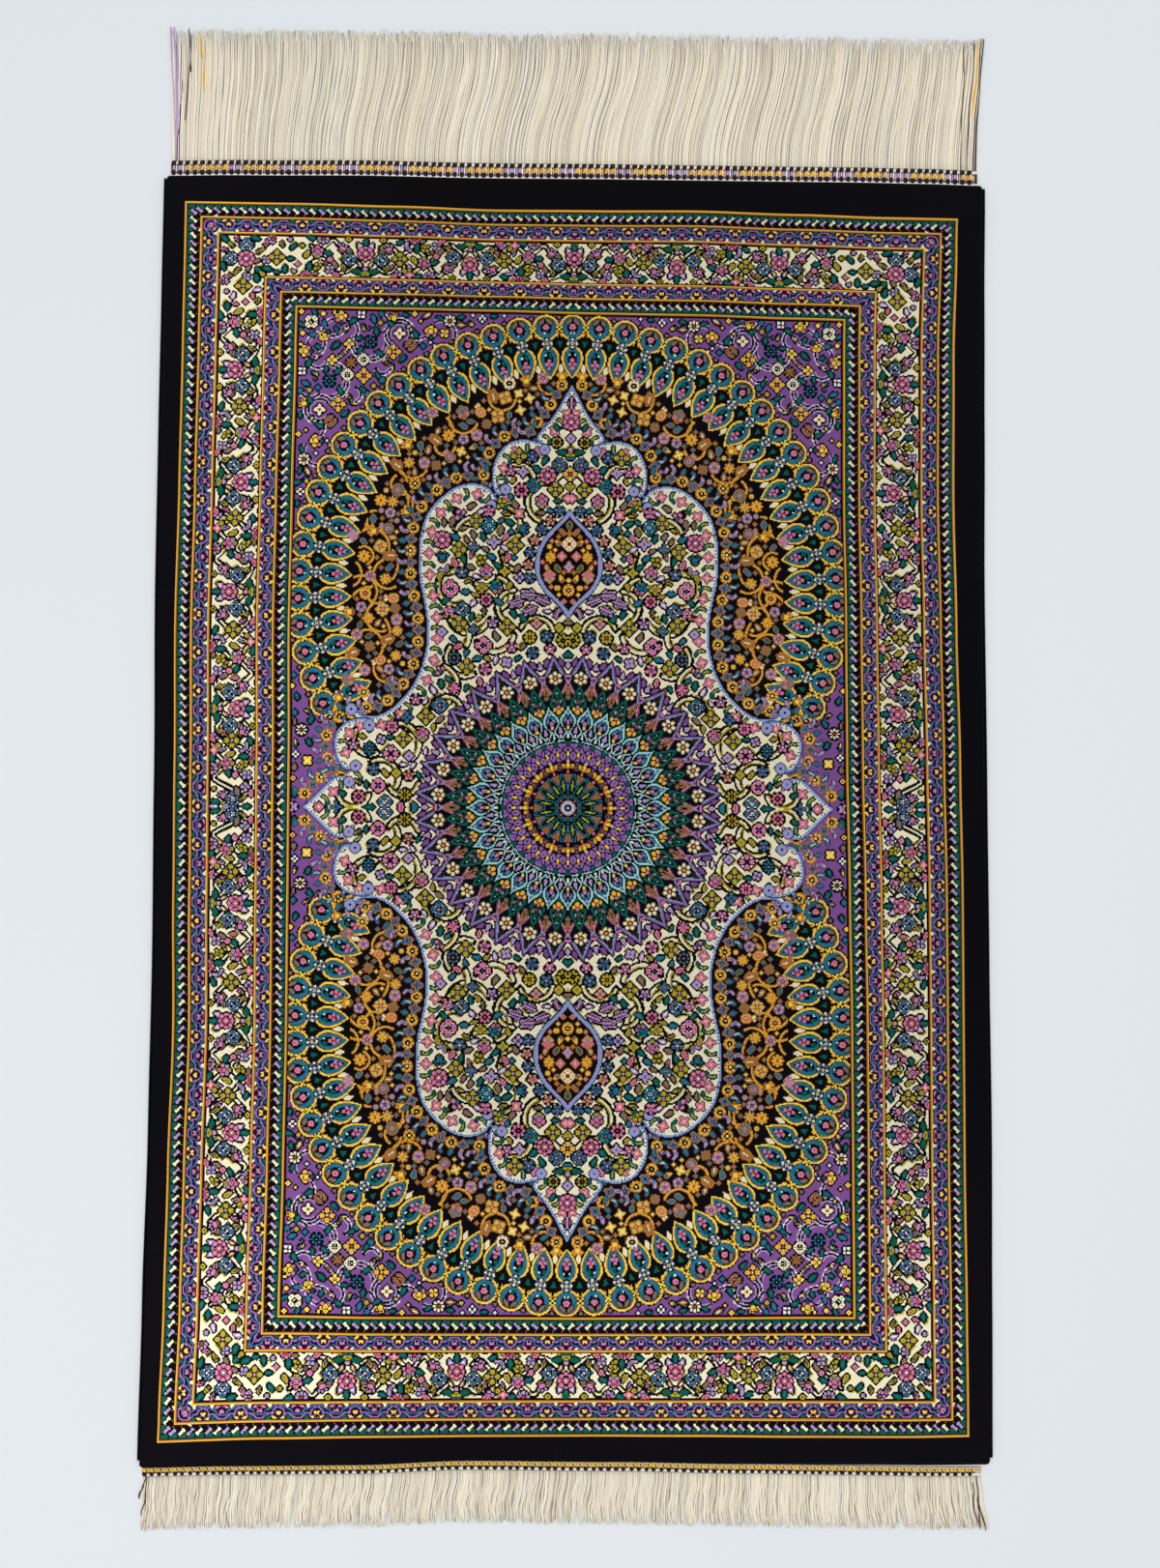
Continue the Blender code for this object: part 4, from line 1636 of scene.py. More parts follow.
def edge_row(chart, edge, offset, pitch, start, size, rim, motifs, allowed):
    """A row of motifs beside an edge, each turned away from it, where they are allowed to be."""
    places = walk(beside(edge, offset), pitch, start)
    drawn = []
    for number, (u, v, heading) in enumerate(places):
        column, row = int(u), int(v)
        if not (0 <= column < CHART_COLUMNS and 0 <= row < CHART_ROWS) or not allowed[row, column]:
            continue
        if any(math.hypot(u - a, v - b) < CLOSEST_SHARE * pitch for a, b in drawn):
            continue
        drawn.append((u, v))
        away = 90.0 if offset > 0 else -90.0
        draw(Pen(chart, u, v, heading + away, size), motifs[number % len(motifs)], rim)


def knot_medallion(chart, inner):
    """The medallion's edge, the rows of flowers on either side of it, and its curls."""
    rows, columns = knot_places()
    pen = Pen(chart, 0.0, 0.0)
    within_field = (rows < FIELD_V - 3) & (columns < FIELD_U - 3)
    open_black = (ring_distance() < RING_RADIUS - PETAL_REACH + 1) | (rows < 96)
    black_side = within_field & ~inner & open_black
    for offset, *row in EDGE_ROWS:
        edge_row(chart, medallion_edge(), offset, *row, inner if offset > 0 else black_side)
    for run in MEDALLION_RUNS:
        line = smooth(run, MEDALLION_STEPS)
        pen.stroke(line, 3.6, "navy")
        pen.stroke(beside(line, 1.6), 1.4, "navy", beads=("white", 1.5, 1.5))
        pen.stroke(line, 1.7, "sky")
    for u, v, radius in CURLS:
        curl = Pen(chart, u, v)
        curl.disc("sky", radius, "navy")
        curl.ring("lilac", radius * 0.55, 1.4)
        curl.disc("navy", 0.9)


def ring_distance():
    """How far every knot is from the ring's middle."""
    rows, columns = knot_places()
    return np.hypot(columns + 0.5, rows + 0.5 - RING_V)


# ---------------------------------------------------------------------------------------------------------
# The pendant and the star in the middle
# ---------------------------------------------------------------------------------------------------------

# The pendant's right half, from its tip to its foot, and the flowers in it.
PENDANT_EDGE = (
    (0, 264),
    (6, 256),
    (14, 248),
    (22, 238),
    (27, 227),
    (28.5, 216),
    (27, 205),
    (21, 194),
    (12, 185),
    (5, 178),
    (0, 170),
)
PENDANT_FLOWERS = (
    # u, v, turn, size, motif
    (0.0, 252.0, 0, 0.85, "green_leaf"),
    (6.5, 246.0, 40, 0.70, "taupe_leaf"),
    (0.0, 235.0, 0, 0.95, "cream_beaded"),
    (10.5, 236.5, 40, 0.80, "gold_bud"),
    (16.5, 223.0, 0, 0.95, "gold_star"),
    (6.5, 224.0, 0, 0.80, "pink_cross"),
    (0.0, 214.5, 0, 0.90, "lilac_cross"),
    (10.0, 213.0, 30, 0.80, "green_leaf"),
    (17.0, 206.0, 0, 0.90, "pink_posy"),
    (20.0, 214.0, 20, 0.60, "camel_leaf"),
    (6.5, 204.0, 20, 0.80, "gold_bud"),
    (0.0, 193.5, 0, 0.95, "gilt"),
    (10.0, 195.5, 60, 0.80, "gold_spot"),
    (4.0, 183.5, 0, 0.75, "pink_spot"),
)

# The feathery wings on either side of the pendant's foot.
WING = (
    # u, v, turn, size, motif
    (22.0, 184.0, 70, 1.00, "lilac_plume"),
    (34.0, 189.0, 84, 1.10, "lilac_plume"),
    (33.0, 176.0, 118, 1.00, "lilac_plume"),
    (45.0, 182.0, 108, 1.05, "lilac_plume"),
    (9.0, 174.0, 150, 0.80, "lilac_plume"),
)


# The round flowers beside the pendant start above the wings.
WING_TOP = 200

# How many times the star's outer parts repeat round the middle, and its inner ones.
STAR_POINTS = 32
CROWNS = 16


def knot_pendant(chart):
    """The pendant: a black leaf shape full of flowers, a row of round flowers beside it, and its wings."""
    pen = Pen(chart, 0.0, 0.0)
    draw_all(chart, WING)
    half = smooth(PENDANT_EDGE, 6)
    for number, (u, v, _) in enumerate(walk(beside(half, -7.6), 11.5, 5.0)):
        if v > WING_TOP:
            draw(Pen(chart, u, v, size=0.95), ("slate_round", "salmon_round")[number % 2])
    pen.shape(mirrored(half), "black")
    pen.stroke(half, 4.6, "navy")
    pen.stroke(beside(half, 1.4), 1.2, "lilac")
    pen.stroke(half, 2.6, "sky")
    draw_all(chart, PENDANT_FLOWERS, "amber")


def star_pens(centre, shifted, count=STAR_POINTS):
    """Pens that head out from the middle, for the parts that touch this quarter of the star."""
    step = 360.0 / count
    first = 0.5 if shifted else 0.0
    for number in range(-1, count // 4 + 2):
        yield centre.moved(lean=(number + first) * step)


# Right halves of the star's parts, across and out from the rug's middle.
STAR_POINT = ((11.8, 106.0), (10.4, 116.0), (5.4, 126.0), (0.0, 136.4))
ROOF = ((8.2, 94.0), (8.0, 99.4), (3.8, 107.4), (0.0, 115.4))
ARCH = (
    (5.4, 60.0),
    (4.4, 63.5),
    (2.4, 67.0),
    (3.2, 70.0),
    (6.0, 73.4),
    (6.9, 78.0),
    (5.2, 82.4),
    (2.0, 86.4),
    (0.0, 91.4),
)


def narrower(half, inset, base, tip):
    """The same outline drawn in by this many knots at its sides, between a new base and a new tip."""
    low, high = half[0][1], half[-1][1]
    share = (tip - base) / (high - low)
    return [(max(p - inset, 0.0), base + (q - low) * share) for p, q in half]


def knot_star(chart):
    """The star, from its points inwards."""
    centre = Pen(chart, 0.0, 0.0)
    for pen in star_pens(centre, False):
        pen.out(124.0).drop("lilac", 4.4, 7.0, "black")
        for side in (-1, 1):
            pen.moved(side * 4.2, 126.0, side * 30.0).blade("purple", 4.0, 8.0, "black")
    for pen in star_pens(centre, True):
        for inset, tip, yarn, rim in (
            (0.0, 136.4, "purple", "black"),
            (1.0, 134.0, "sky", None),
            (1.9, 132.0, "black", None),
        ):
            pen.shape(mirrored(narrower(STAR_POINT, inset, 106.0, tip)), yarn, rim)
    centre.disc("black", 110.0)
    for pen in star_pens(centre, False):
        for inset, tip, yarn in ((0.0, 115.4, "purple"), (0.9, 114.0, "salmon"), (1.8, 112.0, "black")):
            pen.shape(mirrored(narrower(ROOF, inset, 94.0, tip)), yarn)
        pen.moved(-0.8, 97.0).blade("camel", 5.2, 13.0)
        pen.moved(-0.6, 101.6).oval("black", 1.2, 6.4)
        pen.out(98.2).disc("taupe", 1.8, "brown")
        pen.out(117.2).bar("pink", 5.4, 1.9, "navy")
    for pen in star_pens(centre, True):
        knot_star_tip(pen)
    for pen in star_pens(centre, True):
        knot_green_drop(pen)
    for pen in star_pens(centre, True):
        for side in (-1, 1):
            pen.moved(side * 2.9, 87.6).disc("gold", 1.9, "black")
            pen.moved(side * 3.0, 88.2).disc("yellow", 0.8)
        pen.out(85.4).disc("gold", 2.0, "black")
        pen.out(89.6).disc("pink", 1.5, "black")
        pen.out(66.0).drop("lilac", 3.4, 7.0)
        pen.out(61.0).drop("white", 2.6, 4.8)
        pen.out(76.6).blade("green", 2.6, 7.0)
    for pen in star_pens(centre, False):
        knot_arch(pen)
    knot_star_middle(centre)


def knot_star_tip(pen):
    """The six-petalled flower and the small flame in a point of the star."""
    pen.out(121.4).blade("brown", 3.6, 8.0)
    pen.out(121.8).blade("black", 1.6, 6.0)
    flower = pen.moved(0.0, 115.2)
    flower.disc("black", 7.4)
    for petal in flower.spokes(6, 4.3):
        petal.oval("camel", 4.4, 4.4)
        petal.oval("cream", 3.2, 3.2)
    for petal in flower.spokes(6, 5.0, 30.0):
        petal.disc("black", 0.8)
    flower.disc("black", 2.2)
    flower.disc("amber", 1.5)
    flower.disc("cream", 0.7)


def knot_green_drop(pen):
    """A dark green drop that holds a smaller one and a few pale seeds."""
    pen.out(86.6).drop("black", 17.0, 24.0)
    pen.out(87.4).drop("green", 14.4, 21.8)
    for q, side in ((92.0, 5.6), (96.4, 4.6)):
        for flip in (-1, 1):
            pen.moved(flip * side, q).disc("green", 1.6)
    pen.out(89.8).drop("black", 9.4, 15.8)
    pen.out(91.0).drop("green", 5.0, 11.6)
    pen.out(92.2).drop("black", 2.4, 6.4)
    pen.moved(-3.0, 94.6, -12.0).oval("lilac", 1.5, 3.2)
    pen.moved(3.0, 95.6, 12.0).oval("pink", 1.5, 3.0)
    pen.out(94.4).disc("rust", 0.9)
    pen.out(101.8).disc("aqua", 0.8)


def knot_arch(pen):
    """A pale blue arch on two pillars, with a blue and pink bud inside."""
    half = smooth(ARCH, 4)
    pen.shape(mirrored(half), "aqua", "black")
    pen.shape(mirrored(narrower(half, 1.35, 60.6, 89.2)), "black")
    for side in (-1, 1):
        pen.moved(side * 2.7, 78.4, side * -16.0).oval("slate", 2.8, 6.4)
        pen.moved(side * 2.3, 78.0).disc("sky", 0.9)
    pen.out(80.4).blade("slate", 2.6, 7.6)
    pen.out(83.4).disc("aqua", 0.8)
    pen.out(75.4).oval("pink", 2.8, 5.0, "navy")
    pen.out(71.8).disc("yellow", 1.4, "navy")
    pen.out(63.8).oval("white", 1.7, 5.0)
    pen.out(67.4).disc("lilac", 0.7)


def knot_star_middle(centre):
    """The purple ring, the gold crowns and the flower in the very middle."""
    centre.disc("black", 61.2)
    centre.disc("aqua", 60.2)
    centre.disc("black", 58.9)
    centre.disc("orchid", 57.6)
    for pen in star_pens(centre, True):
        for side in (-1, 1):
            pen.stroke([(side * 5.2, 56.4), (0.0, 51.4), (side * 4.4, 46.4), (0.0, 41.0)], 1.2, "navy")
        pen.out(55.0).oval("purple", 2.2, 3.8)
        pen.out(46.4).oval("black", 1.2, 3.4)
    for pen in star_pens(centre, False):
        pen.shape([(-2.8, 58.8), (2.8, 58.8), (0.0, 54.0)], "green", "black")
        pen.out(46.0).drop("yellow", 2.7, 5.4, "black")
        pen.out(52.4).disc("navy", 1.2)
    centre.disc("black", 42.0)
    for pen in star_pens(centre, True, CROWNS):
        pen.out(33.8).drop("purple", 6.4, 7.6)
        pen.out(36.4).disc("taupe", 1.2, "black")
    for pen in star_pens(centre, False, CROWNS):
        for side in (-1, 1):
            pen.moved(side * 3.6, 37.0, side * 46.0).oval("amber", 3.6, 6.0, "black")
            pen.moved(side * 3.4, 37.4, side * 46.0).oval("gold", 2.4, 4.2)
        pen.out(37.6).oval("gold", 3.4, 6.6, "black")
        pen.out(38.4).disc("yellow", 1.1)
        pen.out(34.8).disc("amber", 0.9)
        pen.out(41.4).disc("cream", 0.8)
        pen.out(31.6).disc("pink", 1.4, "black")
    centre.disc("camel", 30.8)
    centre.ring("black", 30.6, 1.0)
    for pen in star_pens(centre, False, CROWNS):
        pen.out(26.2).drop("rust", 2.2, 4.0)
    for pen in star_pens(centre, True, CROWNS):
        pen.out(8.4).blade("black", 8.8, 24.6)
        pen.out(9.2).blade("teal", 7.2, 22.6)
        pen.out(10.6).blade("black", 5.2, 19.2)
        pen.out(14.4).blade("olive", 1.8, 10.4)
    for pen in star_pens(centre, False, CROWNS):
        pen.out(14.4).disc("green", 1.2, "black")
    centre.disc("black", 8.4)
    for petal in centre.spokes(8, 4.8):
        petal.disc("pink", 1.9)
    for petal in centre.spokes(8, 4.8, 22.5):
        petal.disc("aqua", 1.5)
    centre.disc("navy", 2.8)
    centre.disc("aqua", 1.4)


PENDANT_FILL = (
    (4.4, ("gold_dots", "pink_cross", "camel_leaf")),
    (3.4, ("gold_spot", "pink_spot", "amber_leaf", "lilac_spot")),
    (2.6, ("gold_speck", "amber_speck", "pink_speck")),
)


def knot_rug():
    """The whole quarter chart."""
    chart = Chart("black")
    rows, columns = knot_places()
    field = (columns < FIELD_U) & (rows < FIELD_V)
    chart.knots[field] = YARN["violet"]
    knot_spandrel(chart)
    knot_ring(chart)
    inner = inside(medallion_edge() + [(0.0, 0.0)], columns + 0.5, rows + 0.5)
    black_zone = field & ~inner & (ring_distance() < RING_RADIUS - PETAL_REACH)
    chart.knots[inner] = YARN["ivory"]
    knot_scrolls(chart, BLACK_SCROLLS, GOLD_STEM, black_zone)
    draw_all(chart, [row for row in BLACK_GROUND if not inner[int(row[1]), int(row[0])]], "amber")
    knot_scrolls(chart, MEDALLION_SCROLLS, CREAM_STEM, inner)
    knot_medallion(chart, inner)
    draw_all(chart, MEDALLION, scale=MEDALLION_SCALE)
    knot_pendant(chart)
    pendant = inside(mirrored(smooth(PENDANT_EDGE, 6)), columns + 0.5, rows + 0.5)
    fill_gaps(chart, "black", pendant, PENDANT_FILL, "amber", 11)
    knot_star(chart)
    fill_gaps(chart, "ivory", field, CREAM_FILL, "black", 3)
    fill_gaps(chart, "violet", field & (ring_distance() > RING_RADIUS), PURPLE_FILL, "black", 5)
    fill_gaps(chart, "black", black_zone, BLACK_FILL, "camel", 7)
    knot_borders(chart)
    fill_gaps(chart, "ivory", ~field, BORDER_FILL, "black", 9)
    for ground in ("ivory", "violet"):
        widen_outlines(chart, ground, "black")
    shade_ground(chart, "ivory", "olive", 0.30)
    return chart


# ---------------------------------------------------------------------------------------------------------
# Meshes laid where the rug really lies
# ---------------------------------------------------------------------------------------------------------

# The knotted body as the CAD model has it.
BODY_WIDTH = 0.800
BODY_LENGTH = 1.2266
PILE_HEIGHT = 0.0045
SELVEDGE_WIDTH = 0.0030
SELVEDGE_HEIGHT = 0.0030
FRINGE_THICKNESS = 0.0018

# The gap between two pieces, and the width of a knot.
GAP = 0.0003
KNOT = BODY_WIDTH / (2 * CHART_COLUMNS)

# How many places along the body's edges are looked at to find its box.
EDGE_SAMPLES = 801

# Each row: share of the way from the short-fringe end to the long-fringe end, then how far the left side and
# the right side stray towards +X.
SIDE_DRIFT = (
    # share, left, right
    (0.00, -0.0030, -0.0004),
    (0.12, -0.0012, 0.0004),
    (0.25, 0.0014, 0.0013),
    (0.38, 0.0023, 0.0003),
    (0.52, 0.0011, -0.0004),
    (0.68, -0.0012, -0.0014),
    (0.80, -0.0008, -0.0002),
    (0.90, -0.0002, 0.0006),
    (1.00, 0.0004, 0.0020),
)

# Each row: share of the way from the left side to the right side, then how far the long-fringe end and the
# short-fringe end stray towards +Y.
END_DRIFT = (
    # share, far, near
    (0.00, -0.0018, -0.0024),
    (0.10, -0.0004, -0.0012),
    (0.25, 0.0008, -0.0006),
    (0.38, -0.0003, 0.0030),
    (0.55, 0.0003, 0.0016),
    (0.70, 0.0002, -0.0004),
    (0.85, 0.0003, -0.0016),
    (0.92, -0.0002, -0.0022),
    (1.00, -0.0014, -0.0018),
)

# Where the weaving wandered: how far from the rug's middle, in knots, the outermost gold line and the field's
# edge lie on the left and on the right, and the long axis between them, at each place up the rug.
SIDE_WANDER = (
    # place, left line, left field, axis, right field, right line
    (-567, -355.0, -255.0, -3.0, 248.0, 347.0),
    (-528, -353.5, -254.0, -3.0, 248.0, 347.0),
    (-438, -351.0, -252.0, -3.0, 248.0, 346.5),
    (-318, -349.5, -250.0, -2.5, 247.5, 345.5),
    (-198, -347.0, -249.0, -3.0, 247.0, 345.5),
    (-78, -349.0, -249.5, -3.5, 245.5, 345.5),
    (42, -350.0, -250.0, -4.0, 243.5, 344.0),
    (162, -351.5, -251.5, -4.5, 243.0, 341.5),
    (282, -350.0, -250.5, -3.5, 241.5, 339.5),
    (402, -349.0, -249.0, -2.0, 242.0, 340.5),
    (522, -348.5, -247.5, -0.5, 243.5, 344.0),
    (567, -348.5, -247.0, 0.0, 244.5, 345.5),
)

# The same for the two ends, at each place across the rug.
END_WANDER = (
    # place, near line, near field, axis, far field, far line
    (-370, -547.0, -440.0, 0.5, 448.5, 541.0),
    (-250, -544.0, -440.5, 0.5, 447.5, 540.5),
    (-160, -543.0, -442.0, 0.5, 446.5, 539.0),
    (-70, -542.5, -442.5, 0.5, 445.5, 536.5),
    (20, -542.5, -443.0, 0.5, 444.0, 537.0),
    (110, -543.0, -443.0, 0.5, 443.5, 538.0),
    (200, -544.0, -442.5, 0.5, 441.5, 536.0),
    (290, -544.5, -443.0, 0.5, 440.0, 534.0),
    (370, -543.5, -443.0, 0.5, 440.0, 533.5),
)

# The columns of both tables, after the first one, which holds the places.
WANDER_COLUMNS = (1, 2, 3, 4, 5)

# The ends' bands and fringes, as the CAD model has them: the column of END_DRIFT that each follows, its left
# and right, its band's width and sag, and where its fringe's tips lie and how long it is.
ENDS = {
    "far": {
        "side": 1,
        "column": 1,
        "left": -0.3935,
        "right": 0.3950,
        "band": 0.0155,
        "sag": 0.0,
        "tip_left": -0.3975,
        "tip_right": 0.4035,
        "fringe": 0.1330,
    },
    "near": {
        "side": -1,
        "column": 2,
        "left": -0.3990,
        "right": 0.3890,
        "band": 0.0085,
        "sag": 0.0030,
        "tip_left": -0.4000,
        "tip_right": 0.3975,
        "fringe": 0.0500,
    },
}


def eased(table, column, place):
    """The table's column at this place, eased smoothly from row to row. The first column holds the places."""
    table = np.asarray(table, dtype=float)
    places = table[:, 0]
    place = np.clip(place, places[0], places[-1])
    row = np.clip(np.searchsorted(places, place, side="right") - 1, 0, len(places) - 2)
    part = (place - places[row]) / (places[row + 1] - places[row])
    part = part * part * (3.0 - 2.0 * part)
    return table[row, column] * (1.0 - part) + table[row + 1, column] * part


def side_x(side, y):
    """X of the body's left (-1) or right (+1) edge at this Y, from the body's middle."""
    return side * BODY_WIDTH / 2 + eased(SIDE_DRIFT, 1 if side < 0 else 2, y / BODY_LENGTH + 0.5)


def end_y(end, x):
    """Y of the body's edge at this end, at this X, from the body's middle."""
    return end["side"] * BODY_LENGTH / 2 + eased(END_DRIFT, end["column"], x / BODY_WIDTH + 0.5)


def body_middle():
    """Where the body's middle is in the frame: the CAD's body box against the body's own edges."""
    low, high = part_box("rug_body")
    ys = np.linspace(-BODY_LENGTH / 2, BODY_LENGTH / 2, EDGE_SAMPLES)
    xs = np.linspace(-BODY_WIDTH / 2, BODY_WIDTH / 2, EDGE_SAMPLES)
    margin = SELVEDGE_WIDTH + GAP
    left = float(np.min(side_x(-1, ys))) + margin
    right = float(np.max(side_x(1, ys))) - margin
    near = float(np.min(end_y(ENDS["near"], xs)))
    far = float(np.max(end_y(ENDS["far"], xs)))
    return (low[0] + high[0] - left - right) / 2, (low[1] + high[1] - near - far) / 2


MIDDLE_X, MIDDLE_Y = body_middle()


def between(stops, places, value):
    """Linear interpolation where the stops are numbers and the places are arrays."""
    result = np.array(places[0], dtype=float, copy=True)
    for (a, b), (first, last) in zip(zip(stops, stops[1:]), zip(places, places[1:])):
        share = np.clip((value - a) / (b - a), 0.0, 1.0)
        result = np.where(value >= a, first + (last - first) * share, result)
    return result


def lay(column, row):
    """X and Y in the frame of a chart corner, counted in knots from the rug's middle."""
    column = np.asarray(column, dtype=float)
    row = np.asarray(row, dtype=float)
    near_y, near_x = row * KNOT, column * KNOT
    columns = (-CHART_COLUMNS, -LINE_U, -FIELD_U, 0, FIELD_U, LINE_U, CHART_COLUMNS)
    wander = [eased(SIDE_WANDER, number, row) * KNOT for number in WANDER_COLUMNS]
    x = between(columns, [side_x(-1, near_y), *wander, side_x(1, near_y)], column)
    rows = (-CHART_ROWS, -LINE_V, -FIELD_V, 0, FIELD_V, LINE_V, CHART_ROWS)
    wander = [eased(END_WANDER, number, column) * KNOT for number in WANDER_COLUMNS]
    y = between(rows, [end_y(ENDS["near"], near_x), *wander, end_y(ENDS["far"], near_x)], row)
    return x + MIDDLE_X, y + MIDDLE_Y


def undulation(x, y):
    """How far the pile's surface lies under its full height: soft, broad waves, all below 0.3 mm."""
    wave_a = np.sin(9.0 * x + 2.0 * np.sin(4.0 * y)) * np.sin(7.0 * y + 1.3)
    wave_b = np.sin(23.0 * x - 11.0 * y) * np.sin(17.0 * y + 6.0 * x)
    return 0.00012 * (1.0 + wave_a) + 0.00003 * (1.0 + wave_b)


def make_object(name, corners, faces, material, smooth_faces=True):
    """An object from arrays of corners and faces. Faces may have any number of corners each."""
    mesh = bpy.data.meshes.new(name)
    corners = [tuple(map(float, corner)) for corner in corners]
    mesh.from_pydata(corners, [], [tuple(map(int, face)) for face in faces])
    return finish_object(name, mesh, material, smooth_faces)


def finish_object(name, mesh, material, smooth_faces=True):
    """Puts a mesh into the scene as a piece of the rug."""
    mesh.update()
    mesh.validate()
    if smooth_faces:
        mesh.polygons.foreach_set("use_smooth", [True] * len(mesh.polygons))
    mesh.materials.append(material)
    obj = bpy.data.objects.new(name, mesh)
    bpy.context.scene.collection.objects.link(obj)
    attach(obj, "root")
    return obj


# ---------------------------------------------------------------------------------------------------------
# The pile
# ---------------------------------------------------------------------------------------------------------

# The pile is made in lanes up the rug, so that no piece is too heavy. Patches of one yarn are no longer than
# this, and lie inside blocks of this many knots.
LANES = 8
BLOCK = 8

# Chart columns and rows beyond these belong to the rug's rounded edge, which the foundation shows.
PILE_COLUMNS = 366
PILE_ROWS = 565

# A lane's map for the export: folded into this many columns of this many rows.
FOLDS = 4
FOLD_ROWS = 288

# How far the pile's faces lie under its full height, and the knots in one unit of the pile's own map.
PILE_SINK = 0.00003
MAP_KNOTS = 100.0


def whole_chart(quarter):
    """The full chart, from the near left corner, mirrored out of its quarter."""
    half = np.concatenate([quarter[:, ::-1], quarter], axis=1)
    return np.concatenate([half[::-1], half], axis=0)


def patches(chart):
    """The chart as rectangles of one yarn: first row, first column, width, height and yarn of each."""
    rows, columns = chart.shape
    code = chart.astype(np.int32) + 1
    column_number = np.arange(columns)
    starts = np.ones((rows, columns), dtype=bool)
    starts[:, 1:] = (code[:, 1:] != code[:, :-1]) | (column_number[1:] % BLOCK == 0)
    next_start = np.full((rows, columns + 1), columns, dtype=np.int32)
    for column in range(columns - 1, -1, -1):
        next_start[:, column] = np.where(starts[:, column], column, next_start[:, column + 1])
    width = np.where(starts, next_start[:, 1:] - column_number, 0)
    key = np.where(starts, width * 64 + code, 0)
    same = np.zeros((rows, columns), dtype=bool)
    same[1:] = (key[1:] == key[:-1]) & (key[1:] > 0) & (np.arange(1, rows) % BLOCK != 0)[:, None]
    height = np.ones((rows, columns), dtype=np.int32)
    alive = np.ones((rows, columns), dtype=bool)
    for step in range(1, BLOCK):
        following = np.zeros((rows, columns), dtype=bool)
        following[:-step] = same[step:]
        alive &= following
        height += alive
    row, column = np.nonzero((key > 0) & ~same)
    return row, column, width[row, column], height[row, column], chart[row, column]


def pile_lane(number, found, material):
    """One lane of the pile as an object."""
    row, column, width, height, yarn = found
    corner_rows = np.stack([row, row, row + height, row + height], axis=1)
    corner_columns = np.stack([column, column + width, column + width, column], axis=1)
    code = corner_rows.astype(np.int64) * 4096 + corner_columns
    unique, index = np.unique(code, return_inverse=True)
    index = index.reshape(-1)
    x, y = lay(unique % 4096 - CHART_COLUMNS, unique // 4096 - CHART_ROWS)
    z = PILE_HEIGHT - PILE_SINK - undulation(x, y)
    mesh = bpy.data.meshes.new(f"pile_lane_{number}")
    count = len(row)
    mesh.vertices.add(len(unique))
    mesh.vertices.foreach_set("co", np.stack([x, y, z], axis=1).astype(np.float32).ravel())
    mesh.loops.add(4 * count)
    mesh.loops.foreach_set("vertex_index", index.astype(np.int32))
    mesh.polygons.add(count)
    mesh.polygons.foreach_set("loop_start", np.arange(0, 4 * count, 4, dtype=np.int32))
    mesh.update(calc_edges=True)
    attribute = mesh.attributes.new("yarn", "FLOAT", "FACE")
    attribute.data.foreach_set("value", ((yarn + 0.5) / len(YARN_COLOURS)).astype(np.float32))
    first = int(column.min())
    lane_width = int((column + width).max()) - first
    fold = (row // FOLD_ROWS)[:, None]
    across = (fold * (lane_width + 1) + corner_columns - first) / (FOLDS * (lane_width + 1))
    up = (corner_rows - fold * FOLD_ROWS) / FOLD_ROWS
    knots = mesh.uv_layers.new(name="knots")
    places = np.stack([corner_columns - CHART_COLUMNS, corner_rows - CHART_ROWS], axis=2) / MAP_KNOTS
    knots.data.foreach_set("uv", places.astype(np.float32).ravel())
    baked = mesh.uv_layers.new(name="OFBake")
    baked.data.foreach_set("uv", np.stack([across, up], axis=2).astype(np.float32).ravel())
    return finish_object(f"pile_lane_{number}", mesh, material)


def make_pile(material):
    """The pile's lanes, from the left side to the right."""
    chart = whole_chart(knot_rug().knots)
    low_row, high_row = CHART_ROWS - PILE_ROWS, CHART_ROWS + PILE_ROWS
    low_column, high_column = CHART_COLUMNS - PILE_COLUMNS, CHART_COLUMNS + PILE_COLUMNS
    row, column, width, height, yarn = patches(chart)
    far_row, far_column = row + height, column + width
    row, column = np.maximum(row, low_row), np.maximum(column, low_column)
    far_row, far_column = np.minimum(far_row, high_row), np.minimum(far_column, high_column)
    blocks = -(-2 * CHART_COLUMNS // BLOCK)
    lanes = []
    for lane in range(LANES):
        first = blocks * lane // LANES * BLOCK
        last = blocks * (lane + 1) // LANES * BLOCK
        kept = (column >= first) & (column < last) & (far_row > row) & (far_column > column)
        found = (row[kept], column[kept], (far_column - column)[kept], (far_row - row)[kept], yarn[kept])
        lanes.append(pile_lane(lane + 1, found, material))
    return lanes


# The body's round corners, and the places between two of them along an end and along a side.
CORNER_RADIUS = 0.004
END_STEPS = 160
SIDE_STEPS = 240

# The body's edge from the floor up and over, under the pile.
EDGE_PROFILE = (
    # inwards, height
    (0.0, 0.0),
    (0.0, 0.0031),
    (0.0003, 0.0038),
    (0.0008, 0.0042),
    (0.0014, 0.0043),
    (0.0030, 0.0041),
)


def rounded_corner(x, y, x_side, y_side, radius, steps=5):
    """Points of a round corner, from the side to the end, whose square corner is at x, y."""
    points = []
    for turn in np.linspace(0.0, math.pi / 2, steps):
        from_side, from_end = radius * (1 - math.cos(turn)), radius * (1 - math.sin(turn))
        points.append((x - x_side * from_side, y - y_side * from_end))
    return points


